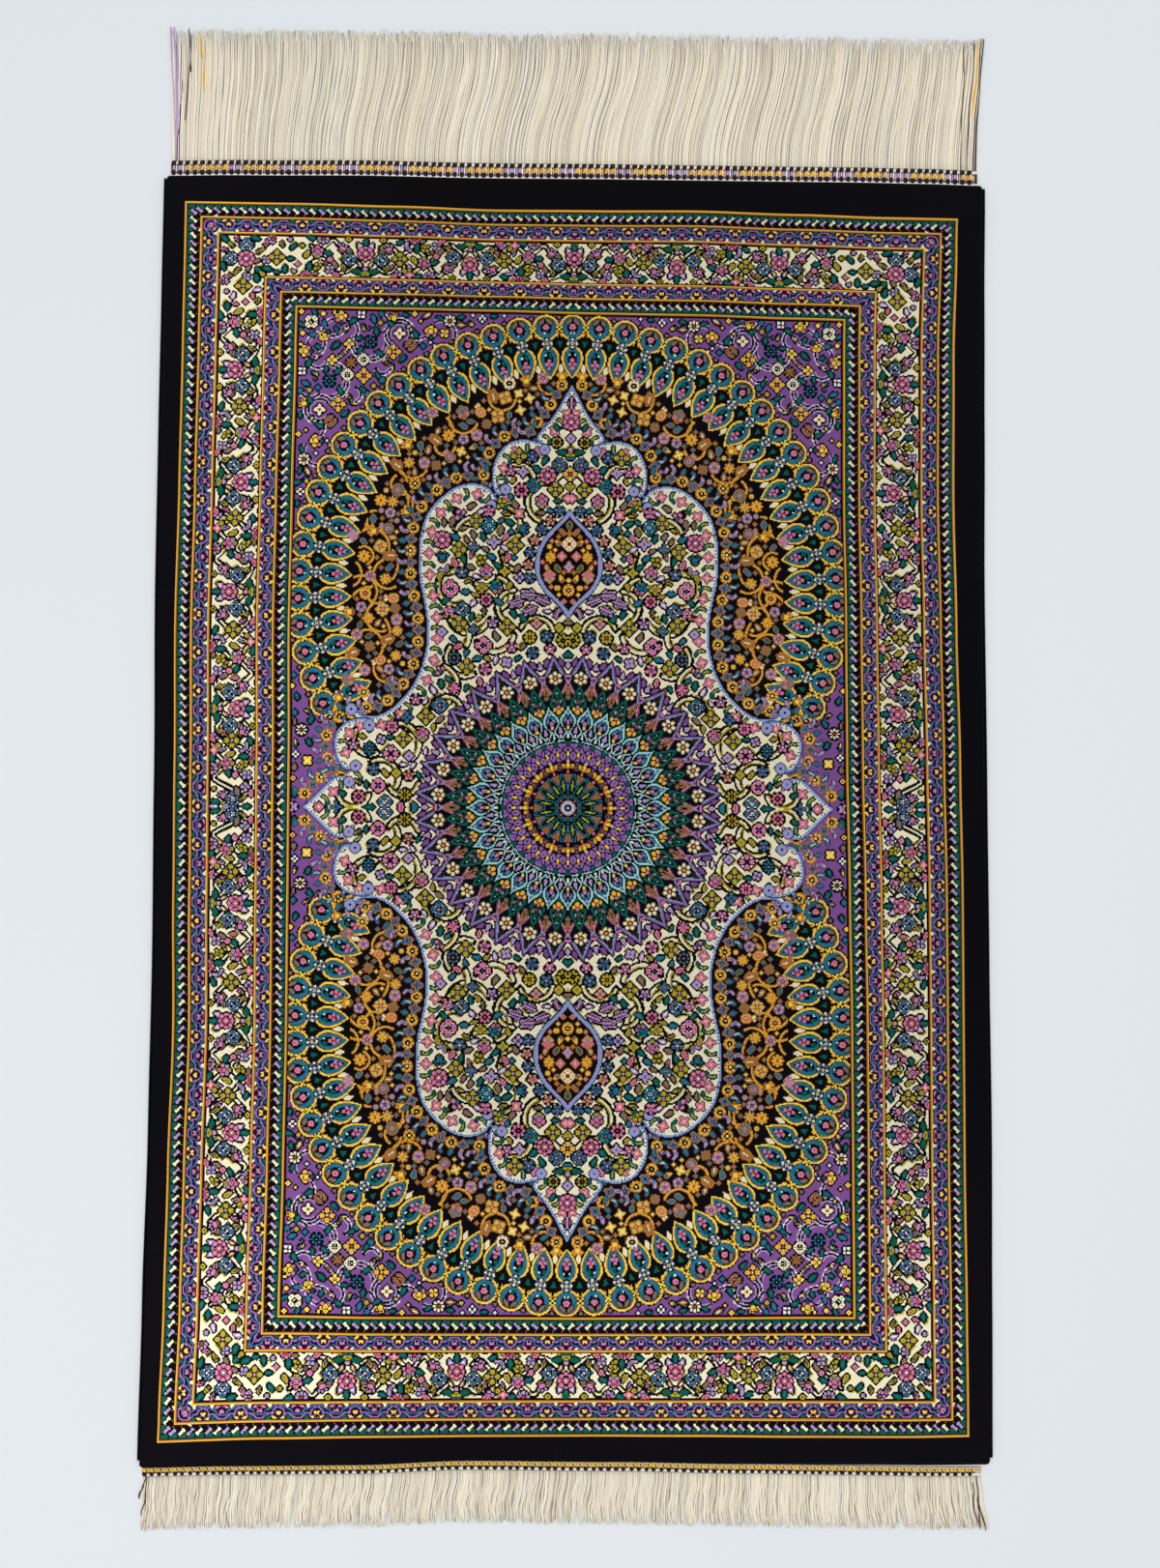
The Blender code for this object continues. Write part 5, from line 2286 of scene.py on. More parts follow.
def foundation_outline():
    """The body's outline in the frame, anticlockwise from its far right corner."""
    margin = SELVEDGE_WIDTH + GAP
    far, near = ENDS["far"], ENDS["near"]
    reach = BODY_LENGTH / 2 - 2 * CORNER_RADIUS
    across = BODY_WIDTH / 2 - margin - 2 * CORNER_RADIUS
    points = []
    for x_side, end, forward in ((1, far, True), (-1, far, False), (-1, near, True), (1, near, False)):
        x = float(side_x(x_side, end["side"] * BODY_LENGTH / 2)) - x_side * margin
        turned = rounded_corner(x, float(end_y(end, x)), x_side, end["side"], CORNER_RADIUS)
        points += turned if forward else turned[::-1]
        if forward:
            xs = np.linspace(x_side * across, -x_side * across, END_STEPS)
            points += [(float(x), float(end_y(end, x))) for x in xs]
        else:
            ys = np.linspace(end["side"] * reach, -end["side"] * reach, SIDE_STEPS)
            points += [(float(side_x(x_side, y)) - x_side * margin, float(y)) for y in ys]
    return [(x + MIDDLE_X, y + MIDDLE_Y) for x, y in points]


def make_foundation(material):
    """The closed body under the pile, whose rounded upper edge is the outermost pile."""
    outline = np.array(foundation_outline())
    ahead = np.roll(outline, -1, axis=0) - np.roll(outline, 1, axis=0)
    ahead /= np.hypot(ahead[:, 0], ahead[:, 1])[:, None]
    inward = np.stack([-ahead[:, 1], ahead[:, 0]], axis=1)
    rings = []
    for depth, height in EDGE_PROFILE:
        ring = outline + inward * depth
        rings.append(np.column_stack([ring, np.full(len(ring), height)]))
    corners = np.concatenate(rings)
    count = len(outline)
    faces = [tuple(range(count))[::-1]]
    for low in range(0, (len(rings) - 1) * count, count):
        high = low + count
        for i in range(count):
            j = (i + 1) % count
            faces.append((low + i, low + j, high + j, high + i))
    faces.append(tuple(range(len(corners) - count, len(corners))))
    return make_object("pile_foundation", corners, faces, material, smooth_faces=False)


# ---------------------------------------------------------------------------------------------------------
# Selvedges, end bands and fringes
# ---------------------------------------------------------------------------------------------------------

# The colours of the threads outside the pile, red, green and blue from 0 to 255.
THREAD_COLOURS = (
    ("ivory", 255, 245, 221),
    ("white", 255, 250, 236),
    ("shadow", 206, 192, 170),
    ("cream", 250, 239, 213),
    ("tan", 232, 206, 160),
    ("gold", 255, 196, 20),
    ("lilac", 196, 168, 204),
    ("plum", 66, 36, 50),
    ("brown", 42, 28, 26),
    ("black", 14, 12, 15),
)
THREAD = {row[0]: (number + 0.5) / len(THREAD_COLOURS) for number, row in enumerate(THREAD_COLOURS)}


class Yarns:
    """Many threads gathered into one mesh, with a colour and a shade for each."""

    def __init__(self):
        self.corners, self.faces, self.threads, self.shades, self.count = [], [], [], [], 0

    def strand(self, path, radii, sides, thread, shade=0.5, lift=1.0):
        """A closed tube along the path. Radii are along it, and lift flattens it."""
        path = np.asarray(path, dtype=float)
        radii = np.broadcast_to(np.asarray(radii, dtype=float), (len(path),))
        ahead = np.gradient(path, axis=0)
        ahead /= np.maximum(np.linalg.norm(ahead, axis=1), 1e-12)[:, None]
        aside = np.cross(ahead, (0.0, 0.0, 1.0))
        length = np.linalg.norm(aside, axis=1)
        aside = np.where(length[:, None] > 1e-6, aside / np.maximum(length, 1e-9)[:, None], (1.0, 0.0, 0.0))
        above = np.cross(aside, ahead)
        angles = np.arange(sides) * 2 * math.pi / sides
        around = aside[:, None, :] * np.cos(angles)[None, :, None]
        around = around + above[:, None, :] * np.sin(angles)[None, :, None] * lift
        rings = path[:, None, :] + around * radii[:, None, None]
        base = self.count
        self.corners.append(rings.reshape(-1, 3))
        ring = np.arange(len(path) - 1)[:, None] * sides + base
        i = np.arange(sides)[None, :]
        j = (i + 1) % sides
        quads = np.stack([ring + i, ring + sides + i, ring + sides + j, ring + j], axis=2).reshape(-1, 4)
        self.faces += [tuple(q) for q in quads.tolist()]
        self.faces.append(tuple(base + k for k in range(sides)))
        last = base + (len(path) - 1) * sides
        self.faces.append(tuple(last + k for k in reversed(range(sides))))
        self.threads += [THREAD[thread]] * (len(quads) + 2)
        self.shades += [shade] * (len(quads) + 2)
        self.count += len(path) * sides

    def build(self, name, material):
        """The threads as one object, with their colours and shades as numbers on its faces."""
        obj = make_object(name, np.concatenate(self.corners), self.faces, material)
        for label, values in (("thread", self.threads), ("shade", self.shades)):
            attribute = obj.data.attributes.new(label, "FLOAT", "FACE")
            attribute.data.foreach_set("value", np.array(values, dtype=np.float32))
        return obj


# A selvedge's cord, as a share of the selvedge's own thickness, and the thread wound over it: how far one
# turn is from the next, how far a turn slants, and the thread's radius.
CORE_SHARE = 0.82
WINDING_STEP = 0.0024
WINDING_SLANT = 0.0011
WINDING_RADIUS = 0.00034


def make_selvedge(name, side, material):
    """The overcast edge: a cord wound over and over with thread."""
    yarns = Yarns()
    reach = BODY_LENGTH / 2 - CORNER_RADIUS
    half_width, half_height = SELVEDGE_WIDTH / 2, SELVEDGE_HEIGHT / 2
    ys = np.linspace(-reach, reach, 300)
    middle = side_x(side, ys) - side * SELVEDGE_WIDTH / 2
    core = np.column_stack([middle + MIDDLE_X, ys + MIDDLE_Y, np.full(len(ys), half_height)])
    yarns.strand(core, half_width * CORE_SHARE, 8, "black", 0.3)
    rng = random.Random(11 + side)
    for number in range(int(2 * reach / WINDING_STEP)):
        y0 = -reach + (number + 0.5) * WINDING_STEP
        points = []
        for t in np.linspace(0.0, 2 * math.pi, 9):
            y = y0 + WINDING_SLANT * math.cos(t) * side
            middle = float(side_x(side, y)) - side * half_width
            x = middle + (half_width - WINDING_RADIUS) * math.cos(t)
            z = half_height + (half_height - WINDING_RADIUS) * math.sin(t)
            points.append((x + MIDDLE_X, y + MIDDLE_Y, z))
        yarns.strand(points, WINDING_RADIUS, 4, "black", rng.random())
    return yarns.build(name, material)


def band_y(end, x, outward):
    """Y of a point of an end's band, from the body's middle, so far out from the body."""
    share = (x - end["left"]) / (end["right"] - end["left"])
    return end_y(end, x) + end["side"] * (GAP + end["sag"] * share**3 + outward)


# How each band is made, in metres. A column of stitches repeats along it. In every group of columns, those
# from gilt_from on show their gilt stitches.
BANDS = {
    "far": {
        "pitch": 0.0070,
        "group": 7.7,
        "gilt_from": 2.4,
        "base": ("white", "plum", "plum", "plum", "white"),
    },
    "near": {"pitch": 0.0071, "group": 1.0, "gilt_from": 0.0, "base": ("tan", "tan", "white")},
}

# A band's cords: how far they stop short of its ends, and the height of their middle and of their half.
CORD_SHORT = 0.0008
CORD_MIDDLE = 0.0007
CORD_HALF_HEIGHT = 0.00062

# Where a band's first column of stitches is, how much room is left past the last, and how far any strays.
FIRST_COLUMN = 0.0030
SPARE_BAND = 0.004
COLUMN_STRAY = 0.0004

# The stitches of one column: where each is along the column's width, from where to where it reaches out over
# the band, how far it leans, its half width, its height, and its thread. A knot has round ends.
BAND_STITCHES = {
    "far": (
        # along, low, high, lean, half width, height, thread, kind
        (0.0024, 0.0030, 0.0126, 0.0004, 0.00085, 0.00150, "white", "plain"),
        (0.0046, 0.0030, 0.0126, 0.0004, 0.00080, 0.00150, "lilac", "plain"),
        (0.0000, 0.0040, 0.0122, 0.0006, 0.00120, 0.00165, "lilac", "plain"),
        (0.0002, 0.0054, 0.0116, 0.0020, 0.00135, 0.00205, "gold", "gilt"),
        (0.0035, 0.0074, 0.0094, 0.0030, 0.00090, 0.00185, "gold", "gilt"),
        (0.0000, 0.0014, 0.0070, 0.0010, 0.00240, 0.00200, "brown", "knot"),
        (0.0000, 0.0108, 0.0160, 0.0022, 0.00240, 0.00190, "brown", "knot"),
        (0.0010, 0.0026, 0.0058, 0.0008, 0.00075, 0.00215, "plum", "knot"),
        (0.0008, 0.0116, 0.0144, 0.0008, 0.00075, 0.00215, "plum", "knot"),
        (0.0033, 0.0126, 0.0152, 0.0004, 0.00110, 0.00160, "white", "knot"),
        (0.0030, 0.0000, 0.0014, 0.0060, 0.00085, 0.00190, "white", "plain"),
    ),
    "near": (
        (0.0000, 0.0006, 0.0044, 0.0018, 0.00150, 0.00190, "gold", "plain"),
        (0.0034, 0.0006, 0.0044, 0.0014, 0.00115, 0.00180, "tan", "plain"),
        (0.0019, 0.0006, 0.0046, 0.0016, 0.00040, 0.00190, "brown", "plain"),
        (0.0000, 0.0040, 0.0082, -0.0006, 0.00220, 0.00190, "brown", "knot"),
        (0.0036, 0.0042, 0.0056, 0.0004, 0.00120, 0.00180, "plum", "knot"),
        (0.0012, -0.0001, 0.0008, 0.0040, 0.00040, 0.00205, "white", "knot"),
    ),
}


def make_band(name, end, plan, stitches, material):
    """The band across an end: cords along it, with columns of stitches and knots sewn over them."""
    yarns = Yarns()
    rng = random.Random(21 + end["side"])
    xs = np.linspace(end["left"] + CORD_SHORT, end["right"] - CORD_SHORT, 240)
    radius = 0.5 * end["band"] / len(plan["base"])
    for number, thread in enumerate(plan["base"]):
        ys = band_y(end, xs, (2 * number + 1) * radius)
        path = np.column_stack([xs + MIDDLE_X, ys + MIDDLE_Y, np.full(len(xs), CORD_MIDDLE)])
        yarns.strand(path, radius, 6, thread, 0.3, lift=CORD_HALF_HEIGHT / radius)
    columns = int((end["right"] - end["left"] - SPARE_BAND) / plan["pitch"])
    for column in range(columns):
        gilt = (column + 0.5) % plan["group"] >= plan["gilt_from"]
        start = end["left"] + FIRST_COLUMN + column * plan["pitch"]
        start += rng.uniform(-COLUMN_STRAY, COLUMN_STRAY)
        for along, low, high, lean, half, height, thread, kind in stitches:
            size = rng.uniform(0.86, 1.12)
            if kind == "gilt" and not gilt:
                continue
            share = np.linspace(0.0, 1.0, 6)
            bow = np.sin(math.pi * share)
            px = np.clip(start + along + lean * (share - 0.5), end["left"] + half, end["right"] - half)
            py = band_y(end, px, low + (high - low) * share)
            path = np.column_stack([px + MIDDLE_X, py + MIDDLE_Y, height * (0.62 + 0.20 * bow)])
            fullness = 0.42 + 0.58 * bow**0.6 if kind == "knot" else 0.8 + 0.2 * bow
            radii = half * size * fullness
            yarns.strand(path, radii, 6, thread, rng.random(), lift=min(1.0, 0.18 * height / half))
    return yarns.build(name, material)


# The fringes, in metres. Strands lie in layers, and each leans over as it leaves the band, straightens, and
# waves a little with its neighbours.
FRINGES = {
    "far": {"segments": 12, "lean": 0.0190, "wave": 0.0007, "waves": 2.3, "ragged": 0.0032, "loose": 520},
    "near": {"segments": 8, "lean": -0.0070, "wave": 0.0013, "waves": 1.6, "ragged": 0.0026, "loose": 420},
}
FRINGE_LAYERS = (
    # strands, half width, height, flatness, threads
    (250, 0.00200, 0.00076, 0.24, ("shadow", "cream")),
    (420, 0.00080, 0.00120, 0.60, ("ivory", "ivory", "white", "ivory", "ivory", "cream")),
)

# The loose thin ends: how much of a strand's tip each shows, its radius, and how far aside it may bend.
LOOSE_LENGTH = 0.016
LOOSE_RADIUS = 0.00028
LOOSE_BEND = 0.0022

# Where a fringe has parted: places across it, as shares of its width, and how far the strands beside a
# parting have moved and how wide it is.
PARTINGS = {"far": (), "near": (0.1830, 0.2980, 0.3560, 0.5210, 0.6640, 0.7720, 0.9020)}
PARTING_PUSH = 0.0016
PARTING_WIDTH = 0.0050

# Coloured threads in the fringes: where they start and end, as shares of the width, the shares of the length
# where they start and stop, how thick they are in metres, and their thread.
SIDE_THREADS = {
    "far": (
        # root, tip, from, to, radius, thread
        (0.0040, 0.0000, 0.00, 1.00, 0.00115, "lilac"),
        (0.0052, 0.0030, 0.00, 1.00, 0.00115, "lilac"),
        (0.0064, 0.0060, 0.00, 0.97, 0.00100, "lilac"),
        (0.0080, 0.0085, 0.00, 0.96, 0.00080, "white"),
        (0.0060, 0.0120, 0.00, 0.62, 0.00075, "plum"),
        (0.0085, 0.0100, 0.00, 0.90, 0.00050, "plum"),
        (0.0130, 0.0210, 0.30, 0.95, 0.00045, "plum"),
        (0.0230, 0.0180, 0.66, 0.99, 0.00065, "black"),
        (0.0400, 0.0300, 0.52, 0.96, 0.00070, "gold"),
        (0.9800, 0.9690, 0.00, 0.96, 0.00050, "plum"),
        (0.9880, 0.9850, 0.00, 0.99, 0.00060, "plum"),
        (0.9930, 0.9900, 0.40, 1.00, 0.00090, "gold"),
        (0.9960, 0.9950, 0.00, 1.00, 0.00085, "plum"),
        (0.9990, 1.0000, 0.00, 1.00, 0.00090, "black"),
    ),
    "near": (
        (0.0040, -0.0060, 0.00, 0.40, 0.00080, "plum"),
        (0.0060, 0.0010, 0.00, 0.72, 0.00060, "plum"),
        (0.0020, 0.0060, 0.66, 1.00, 0.00060, "tan"),
        (0.9900, 0.9880, 0.10, 0.93, 0.00055, "brown"),
        (0.9950, 0.9960, 0.00, 1.00, 0.00060, "plum"),
        (0.9970, 0.9900, 0.30, 0.97, 0.00065, "plum"),
    ),
}


def fringe_path(end, plan, partings, root, tip, reach, rng, first=0.0):
    """A strand's way out from the band, from one share of its length on, as x and y along it."""
    wide, tip_wide = end["right"] - end["left"], end["tip_right"] - end["tip_left"]
    x = end["left"] + wide * (0.002 + 0.996 * root)
    tip_x = end["tip_left"] + tip_wide * (0.002 + 0.996 * tip)
    for place in partings:
        away = (tip - place) * tip_wide
        tip_x += math.copysign(PARTING_PUSH, away) * math.exp(-((away / PARTING_WIDTH) ** 2))
    share = np.linspace(first, 1.0, plan["segments"] + 1)
    swing = np.clip((share - 0.05) / 0.80, 0.0, 1.0)
    swing = swing * swing * (3.0 - 2.0 * swing)
    lean = plan["lean"] * math.sin(math.pi * min(max(tip, 0.0), 1.0)) ** 0.6
    phase = 1.6 * math.sin(root * 43.0) + 1.5 * math.sin(root * 171.0) + rng.uniform(-0.9, 0.9)
    wave = plan["wave"] * rng.uniform(0.2, 0.8) * np.clip(share * 3.0, 0.0, 1.0)
    px = x + (tip_x - x) * share**1.5 + lean * swing
    px = px + wave * np.sin(share * plan["waves"] * 2 * math.pi + phase)
    px = np.clip(px, end["tip_left"] - 0.0004, end["tip_right"] + 0.0004)
    py = np.array([float(band_y(end, x, end["band"] + GAP + reach * s)) for s in share])
    return share, px + MIDDLE_X, py + MIDDLE_Y


def make_fringe(name, end, plan, partings, side_threads, material):
    """The loose warps: strands that leave the band side by side, lean, wave and end unevenly."""
    yarns = Yarns()
    rng = random.Random(31 + end["side"])
    for strands, half, height, flatness, threads in FRINGE_LAYERS:
        for number in range(strands):
            place = (number + 0.5 + rng.uniform(-0.35, 0.35)) / strands
            uneven = 0.5 + 0.5 * math.sin(place * 61.0) * math.cos(place * 23.0 + 1.0)
            reach = end["fringe"] * (0.992 - 0.022 * uneven) - abs(rng.gauss(0.0, plan["ragged"]))
            share, px, py = fringe_path(end, plan, partings, place, place, reach, rng)
            rise = height + rng.uniform(-0.00008, 0.00008) + 0.00008 * np.sin(share * 9.0 + place * 300.0)
            radii = half * rng.uniform(0.72, 1.10) * (1.0 - 0.62 * share**8)
            path = np.column_stack([px, py, rise])
            yarns.strand(path, radii, 5, threads[rng.randrange(len(threads))], rng.random(), lift=flatness)
    for number in range(plan["loose"]):
        place = rng.uniform(0.004, 0.996)
        reach = end["fringe"] * rng.uniform(0.965, 1.0)
        share, px, py = fringe_path(end, plan, partings, place, place, reach, rng)
        bend = rng.uniform(-LOOSE_BEND, LOOSE_BEND) * np.linspace(0.0, 1.0, 4) ** 1.4
        outward = np.linspace(reach - LOOSE_LENGTH * rng.uniform(0.5, 1.0), reach, 4)
        ys = [float(band_y(end, px[-1] - MIDDLE_X, end["band"] + GAP + v)) + MIDDLE_Y for v in outward]
        xs = np.clip(px[-1] + bend, MIDDLE_X + end["tip_left"], MIDDLE_X + end["tip_right"])
        height = 0.0013 + rng.uniform(-0.0002, 0.0002)
        path = np.column_stack([xs, ys, np.full(4, height)])
        yarns.strand(path, LOOSE_RADIUS * np.array((1.0, 1.0, 0.9, 0.5)), 4, "white", rng.random())
    for root, tip, first, last, radius, thread in side_threads:
        reach = end["fringe"] * last
        share, px, py = fringe_path(end, plan, (), root, tip, reach, rng, first / last)
        rise = np.full(len(share), FRINGE_THICKNESS - radius * 0.8)
        radii = radius * (1.0 - 0.5 * np.clip((share - 0.9) * 10.0, 0.0, 1.0))
        yarns.strand(np.column_stack([px, py, rise]), radii, 6, thread, 0.7, lift=0.8)
    return yarns.build(name, material)


# ---------------------------------------------------------------------------------------------------------
# Materials
# ---------------------------------------------------------------------------------------------------------


def linear(value):
    """A colour value from 0 to 255 as the scene's light sees it."""
    value = value / 255.0
    return value / 12.92 if value <= 0.04045 else ((value + 0.055) / 1.055) ** 2.4


class Recipe:
    """A node material as it is put together: its nodes, its links and its shader."""

    def __init__(self, name, roughness, specular, sheen=0.0):
        self.material = bpy.data.materials.new(name)
        self.material.use_nodes = True
        self.nodes, self.links = self.material.node_tree.nodes, self.material.node_tree.links
        self.shader = self.nodes["Principled BSDF"]
        self.shader.inputs["Roughness"].default_value = roughness
        self.shader.inputs["Specular IOR Level"].default_value = specular
        self.shader.inputs["Sheen Weight"].default_value = sheen
        self.shader.inputs["Sheen Roughness"].default_value = 0.45

    def add(self, kind, inputs=(), **settings):
        """A node with its settings, and its inputs as values or as other nodes' outputs."""
        node = self.nodes.new(kind)
        for key, value in settings.items():
            setattr(node, key, value)
        for socket, value in inputs:
            if isinstance(value, bpy.types.NodeSocket):
                self.links.new(value, node.inputs[socket])
            else:
                node.inputs[socket].default_value = value
        return node

    def math(self, operation, first, second=0.0):
        """The result of one operation on one or two numbers."""
        return self.add("ShaderNodeMath", ((0, first), (1, second)), operation=operation).outputs[0]

    def palette(self, attribute, colours):
        """The colour of a number that every face carries, from a list of colours."""
        value = self.add("ShaderNodeAttribute", attribute_name=attribute).outputs["Fac"]
        ramp = self.add("ShaderNodeValToRGB", (("Fac", value),))
        ramp.color_ramp.interpolation = "CONSTANT"
        stops = ramp.color_ramp.elements
        while len(stops) < len(colours):
            stops.new(1.0)
        for number, colour in enumerate(colours):
            stops[number].position = number / len(colours)
            stops[number].color = (*[linear(v) for v in colour[1:]], 1.0)
        return ramp.outputs["Color"]

    def noise(self, vector, scale, detail, roughness):
        """Noise from 0 to 1 at a place."""
        inputs = (("Vector", vector), ("Scale", scale), ("Detail", detail), ("Roughness", roughness))
        return self.add("ShaderNodeTexNoise", inputs).outputs["Fac"]

    def scaled(self, vector, scale):
        """A vector or a colour times another one, or times a number."""
        return self.add("ShaderNodeVectorMath", ((0, vector), (1, scale)), operation="MULTIPLY").outputs[0]

    def parts(self, vector):
        """A vector's x, y and z."""
        return list(self.add("ShaderNodeSeparateXYZ", ((0, vector),)).outputs)

    def span(self, value, low, high):
        """A value from 0 to 1 as one from low to high."""
        inputs = (("Value", value), ("To Min", low), ("To Max", high))
        return self.add("ShaderNodeMapRange", inputs).outputs[0]

    def ramp(self, value, low, high):
        """A colour from low to high, as the value goes from 0 to 1."""
        node = self.add("ShaderNodeValToRGB", (("Fac", value),))
        node.color_ramp.elements[0].color = (*low, 1.0)
        node.color_ramp.elements[1].color = (*high, 1.0)
        return node.outputs["Color"]

    def finish(self, colour, height, distance):
        """The material, with its colour and with bumps this deep."""
        self.links.new(colour, self.shader.inputs["Base Color"])
        bump = self.add("ShaderNodeBump", (("Height", height), ("Distance", distance), ("Strength", 1.0)))
        self.links.new(bump.outputs["Normal"], self.shader.inputs["Normal"])
        return self.material


# Painted sheen: the pile's colour is made lighter towards the left edge and the near end, as the silk's sheen
# looks there: from where to where along x and along y, in metres, and how light it gets, from a level that
# the rest of the pile has.
PAINTED_SHEEN_RAMPS = ((-0.360, -0.120, 1.25), (-0.600, -0.250, 1.25))
PAINTED_SHEEN_LEVEL = 0.945

# The black of the rug's edge at its darkest and lightest.
EDGE_TONES = ((0.0016, 0.0014, 0.0020), (0.0085, 0.0070, 0.0090))

# How deep the bumps of each material are, in metres.
TUFT_DEPTH = 0.00035
EDGE_DEPTH = 0.0004
RIDGE_DEPTH = 0.00012
GRAIN_DEPTH = 0.0001


def pile_material():
    """Silk pile: a colour for each yarn, uneven dye along the rows, painted sheen towards the left edge and
    the near end, and a small tuft for every knot.
    """
    recipe = Recipe("silk_pile", roughness=0.7, specular=0.03)
    colour = recipe.palette("yarn", YARN_COLOURS)
    place = recipe.add("ShaderNodeUVMap", uv_map="knots").outputs["UV"]
    rows = recipe.noise(recipe.scaled(place, (1.2, 26.0, 1.0)), 1.0, 3.0, 0.6)
    broad = recipe.noise(recipe.scaled(place, (0.5, 0.7, 1.0)), 1.0, 2.0, 0.5)
    fine = recipe.noise(recipe.scaled(place, (70.0, 70.0, 1.0)), 1.0, 1.0, 0.5)
    factor = recipe.math("MULTIPLY", recipe.span(rows, 0.86, 1.16), recipe.span(broad, 0.88, 1.14))
    factor = recipe.math("MULTIPLY", factor, recipe.span(fine, 0.80, 1.20))
    body = recipe.parts(recipe.add("ShaderNodeTexCoord").outputs["Object"])
    # Painted sheen: the colour is made lighter towards the left edge and the near end.
    for along, (lightest, even, gain) in zip(body, PAINTED_SHEEN_RAMPS):
        inputs = (
            ("Value", along),
            ("From Min", even),
            ("From Max", lightest),
            ("To Min", PAINTED_SHEEN_LEVEL),
            ("To Max", gain),
        )
        painted_sheen = recipe.add("ShaderNodeMapRange", inputs, interpolation_type="SMOOTHSTEP")
        factor = recipe.math("MULTIPLY", factor, painted_sheen.outputs[0])
    tufts = []
    for along in recipe.parts(place)[:2]:
        turn = recipe.math("MULTIPLY", along, MAP_KNOTS * math.pi)
        tufts.append(recipe.math("ABSOLUTE", recipe.math("SINE", turn)))
    height = recipe.math("MULTIPLY", tufts[0], tufts[1])
    height = recipe.math("ADD", height, recipe.math("MULTIPLY", fine, 0.5))
    return recipe.finish(recipe.scaled(colour, factor), height, TUFT_DEPTH)


def edge_material():
    """The black pile of the rug's rounded edge."""
    recipe = Recipe("edge_pile", roughness=0.7, specular=0.03)
    place = recipe.add("ShaderNodeTexCoord").outputs["Object"]
    fine = recipe.noise(place, 900.0, 2.0, 0.6)
    return recipe.finish(recipe.ramp(fine, *EDGE_TONES), fine, EDGE_DEPTH)


def thread_material(name, roughness, specular, sheen, twist):
    """Twisted threads: a colour and a shade for each, and fine ridges that wind along them."""
    recipe = Recipe(name, roughness, specular, sheen)
    colour = recipe.palette("thread", THREAD_COLOURS)
    shade = recipe.add("ShaderNodeAttribute", attribute_name="shade").outputs["Fac"]
    place = recipe.add("ShaderNodeTexCoord").outputs["Object"]
    streaks = recipe.noise(recipe.scaled(place, (1600.0, 160.0, 900.0)), 1.0, 2.0, 0.6)
    factor = recipe.math("MULTIPLY", recipe.span(shade, 0.86, 1.08), recipe.span(streaks, 0.88, 1.14))
    across, along = recipe.parts(place)[:2]
    winding = recipe.math("MULTIPLY", across, 1.6 * twist)
    winding = recipe.math("ADD", winding, recipe.math("MULTIPLY", along, twist))
    height = recipe.math("ADD", recipe.math("MULTIPLY", recipe.math("SINE", winding), 0.5), streaks)
    return recipe.finish(recipe.scaled(colour, factor), height, RIDGE_DEPTH)


# ---------------------------------------------------------------------------------------------------------
# Camera, light and floor
# ---------------------------------------------------------------------------------------------------------

# The photograph's camera, above the middle of the rug's body and looking down.
CAMERA_OVER = (-0.00962, -0.01764, 1.12240)
CAMERA_TURN = (2.1051, -0.8729, 0.2738)
CAMERA_LENS = 26.9
CAMERA_SENSOR = 36.0

FLOOR_SIZE = 6.0
FLOOR_TOP = -0.00005
FLOOR_DEPTH = 0.02
FLOOR_TONE = (0.804, 0.834, 0.856)
SKY_TONE = (0.97, 0.98, 1.0)
SKY_STRENGTH = 0.82

LIGHTS = (
    # name, place, size, watts, tone
    ("key_light", (-0.9, -0.9, 2.1), 1.6, 9.0, (1.0, 0.99, 0.98)),
    ("fill_light", (1.1, 0.9, 2.3), 2.0, 5.0, (0.97, 0.98, 1.0)),
)


def set_camera():
    """The photo's camera."""
    data = bpy.data.cameras.new("photo_camera")
    data.lens, data.sensor_width, data.sensor_fit = CAMERA_LENS, CAMERA_SENSOR, "AUTO"
    camera = bpy.data.objects.new("photo_camera", data)
    camera.location = (MIDDLE_X + CAMERA_OVER[0], MIDDLE_Y + CAMERA_OVER[1], CAMERA_OVER[2])
    camera.rotation_euler = [math.radians(v) for v in CAMERA_TURN]
    bpy.context.scene.collection.objects.link(camera)
    bpy.context.scene.camera = camera


def set_light():
    """A pale sky and two soft lights, which aim at the rug's middle."""
    world = bpy.data.worlds.new("soft_studio")
    world.use_nodes = True
    sky = world.node_tree.nodes["Background"]
    sky.inputs["Color"].default_value = (*SKY_TONE, 1.0)
    sky.inputs["Strength"].default_value = SKY_STRENGTH
    bpy.context.scene.world = world
    bpy.context.scene.view_settings.view_transform = "Standard"
    for name, place, size, watts, tone in LIGHTS:
        data = bpy.data.lights.new(name, "AREA")
        data.shape, data.size, data.energy, data.color = "DISK", size, watts, tone
        light = bpy.data.objects.new(name, data)
        light.location = place
        aim = -np.array(place) / np.linalg.norm(place)
        light.rotation_euler = (math.acos(-aim[2]), 0.0, math.atan2(-aim[0], aim[1]))
        bpy.context.scene.collection.objects.link(light)


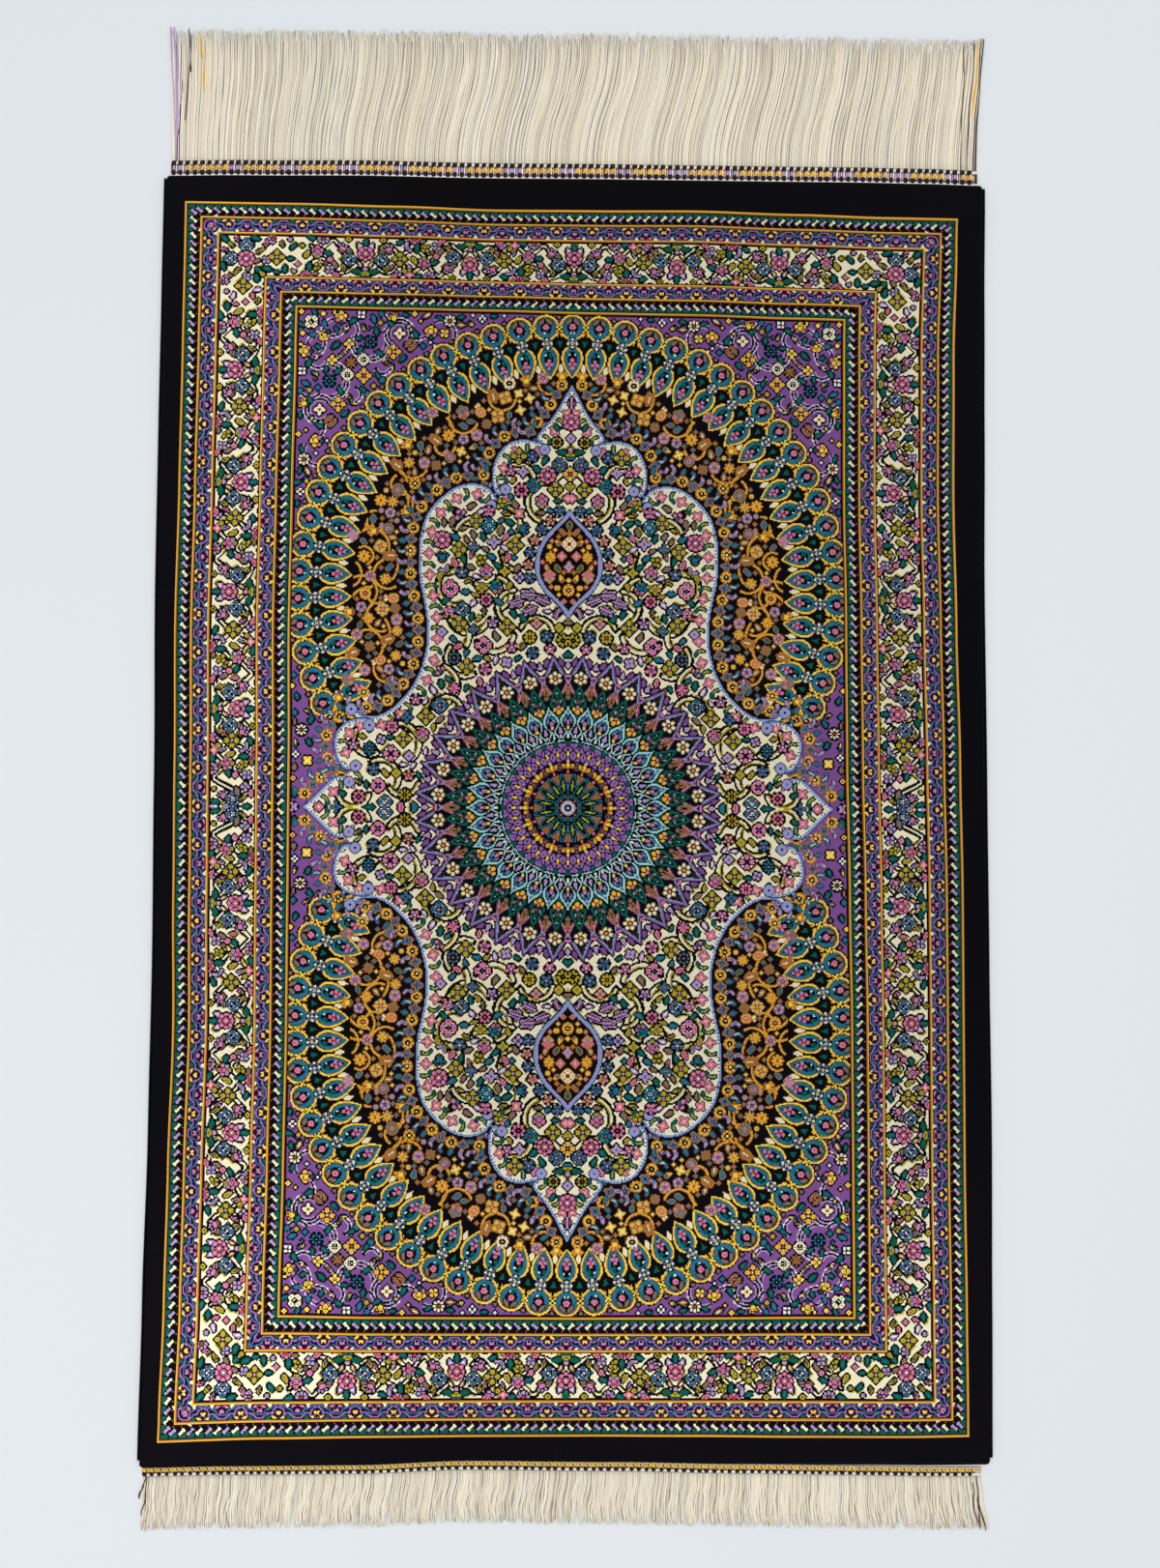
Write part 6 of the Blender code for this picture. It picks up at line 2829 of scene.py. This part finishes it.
def make_floor():
    """A plain pale floor, just under the rug."""
    half = FLOOR_SIZE / 2
    square = ((-half, -half), (half, -half), (half, half), (-half, half))
    corners = [(x, y, z) for z in (-FLOOR_DEPTH, FLOOR_TOP) for x, y in square]
    faces = [(3, 2, 1, 0), (4, 5, 6, 7), (0, 1, 5, 4), (1, 2, 6, 5), (2, 3, 7, 6), (3, 0, 4, 7)]
    mesh = bpy.data.meshes.new("floor")
    mesh.from_pydata(corners, [], faces)
    recipe = Recipe("floor_paper", roughness=0.8, specular=0.2)
    place = recipe.add("ShaderNodeTexCoord").outputs["Object"]
    grain = recipe.noise(place, 300.0, 2.0, 0.5)
    tint = recipe.ramp(grain, [v * 0.99 for v in FLOOR_TONE], FLOOR_TONE)
    mesh.materials.append(recipe.finish(tint, grain, GRAIN_DEPTH))
    floor = bpy.data.objects.new("floor", mesh)
    bpy.context.scene.collection.objects.link(floor)
    floor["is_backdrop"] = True


def main():
    """Builds the scene and names its pieces."""
    set_camera()
    set_light()
    make_floor()
    silk, edge = pile_material(), edge_material()
    warp = thread_material("warp_silk", 0.6, 0.2, 0.1, 5200.0)
    wrap = thread_material("band_yarn", 0.7, 0.1, 0.05, 4200.0)
    cord = thread_material("selvedge_silk", 0.7, 0.05, 0.0, 4200.0)
    lanes = make_pile(silk)
    foundation = make_foundation(edge)
    pieces = list(lanes)
    for side, label in ((-1, "left"), (1, "right")):
        selvedge = make_selvedge(f"overcast_{label}", side, cord)
        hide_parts(f"selvedge_{label}")
        pieces.append(selvedge)
    for label, end in ENDS.items():
        band = make_band(f"wrapped_band_{label}", end, BANDS[label], BAND_STITCHES[label], wrap)
        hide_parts(f"end_band_{label}")
        threads = SIDE_THREADS[label]
        fringe = make_fringe(f"warp_fringe_{label}", end, FRINGES[label], PARTINGS[label], threads, warp)
        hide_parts(f"fringe_{label}")
        pieces += [band, fringe]
    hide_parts("rug_body")


main()

seen_low, seen_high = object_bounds()
rows = [[round(float(v), 6) for v in corner] for corner in (cad_low, cad_high, seen_low, seen_high)]
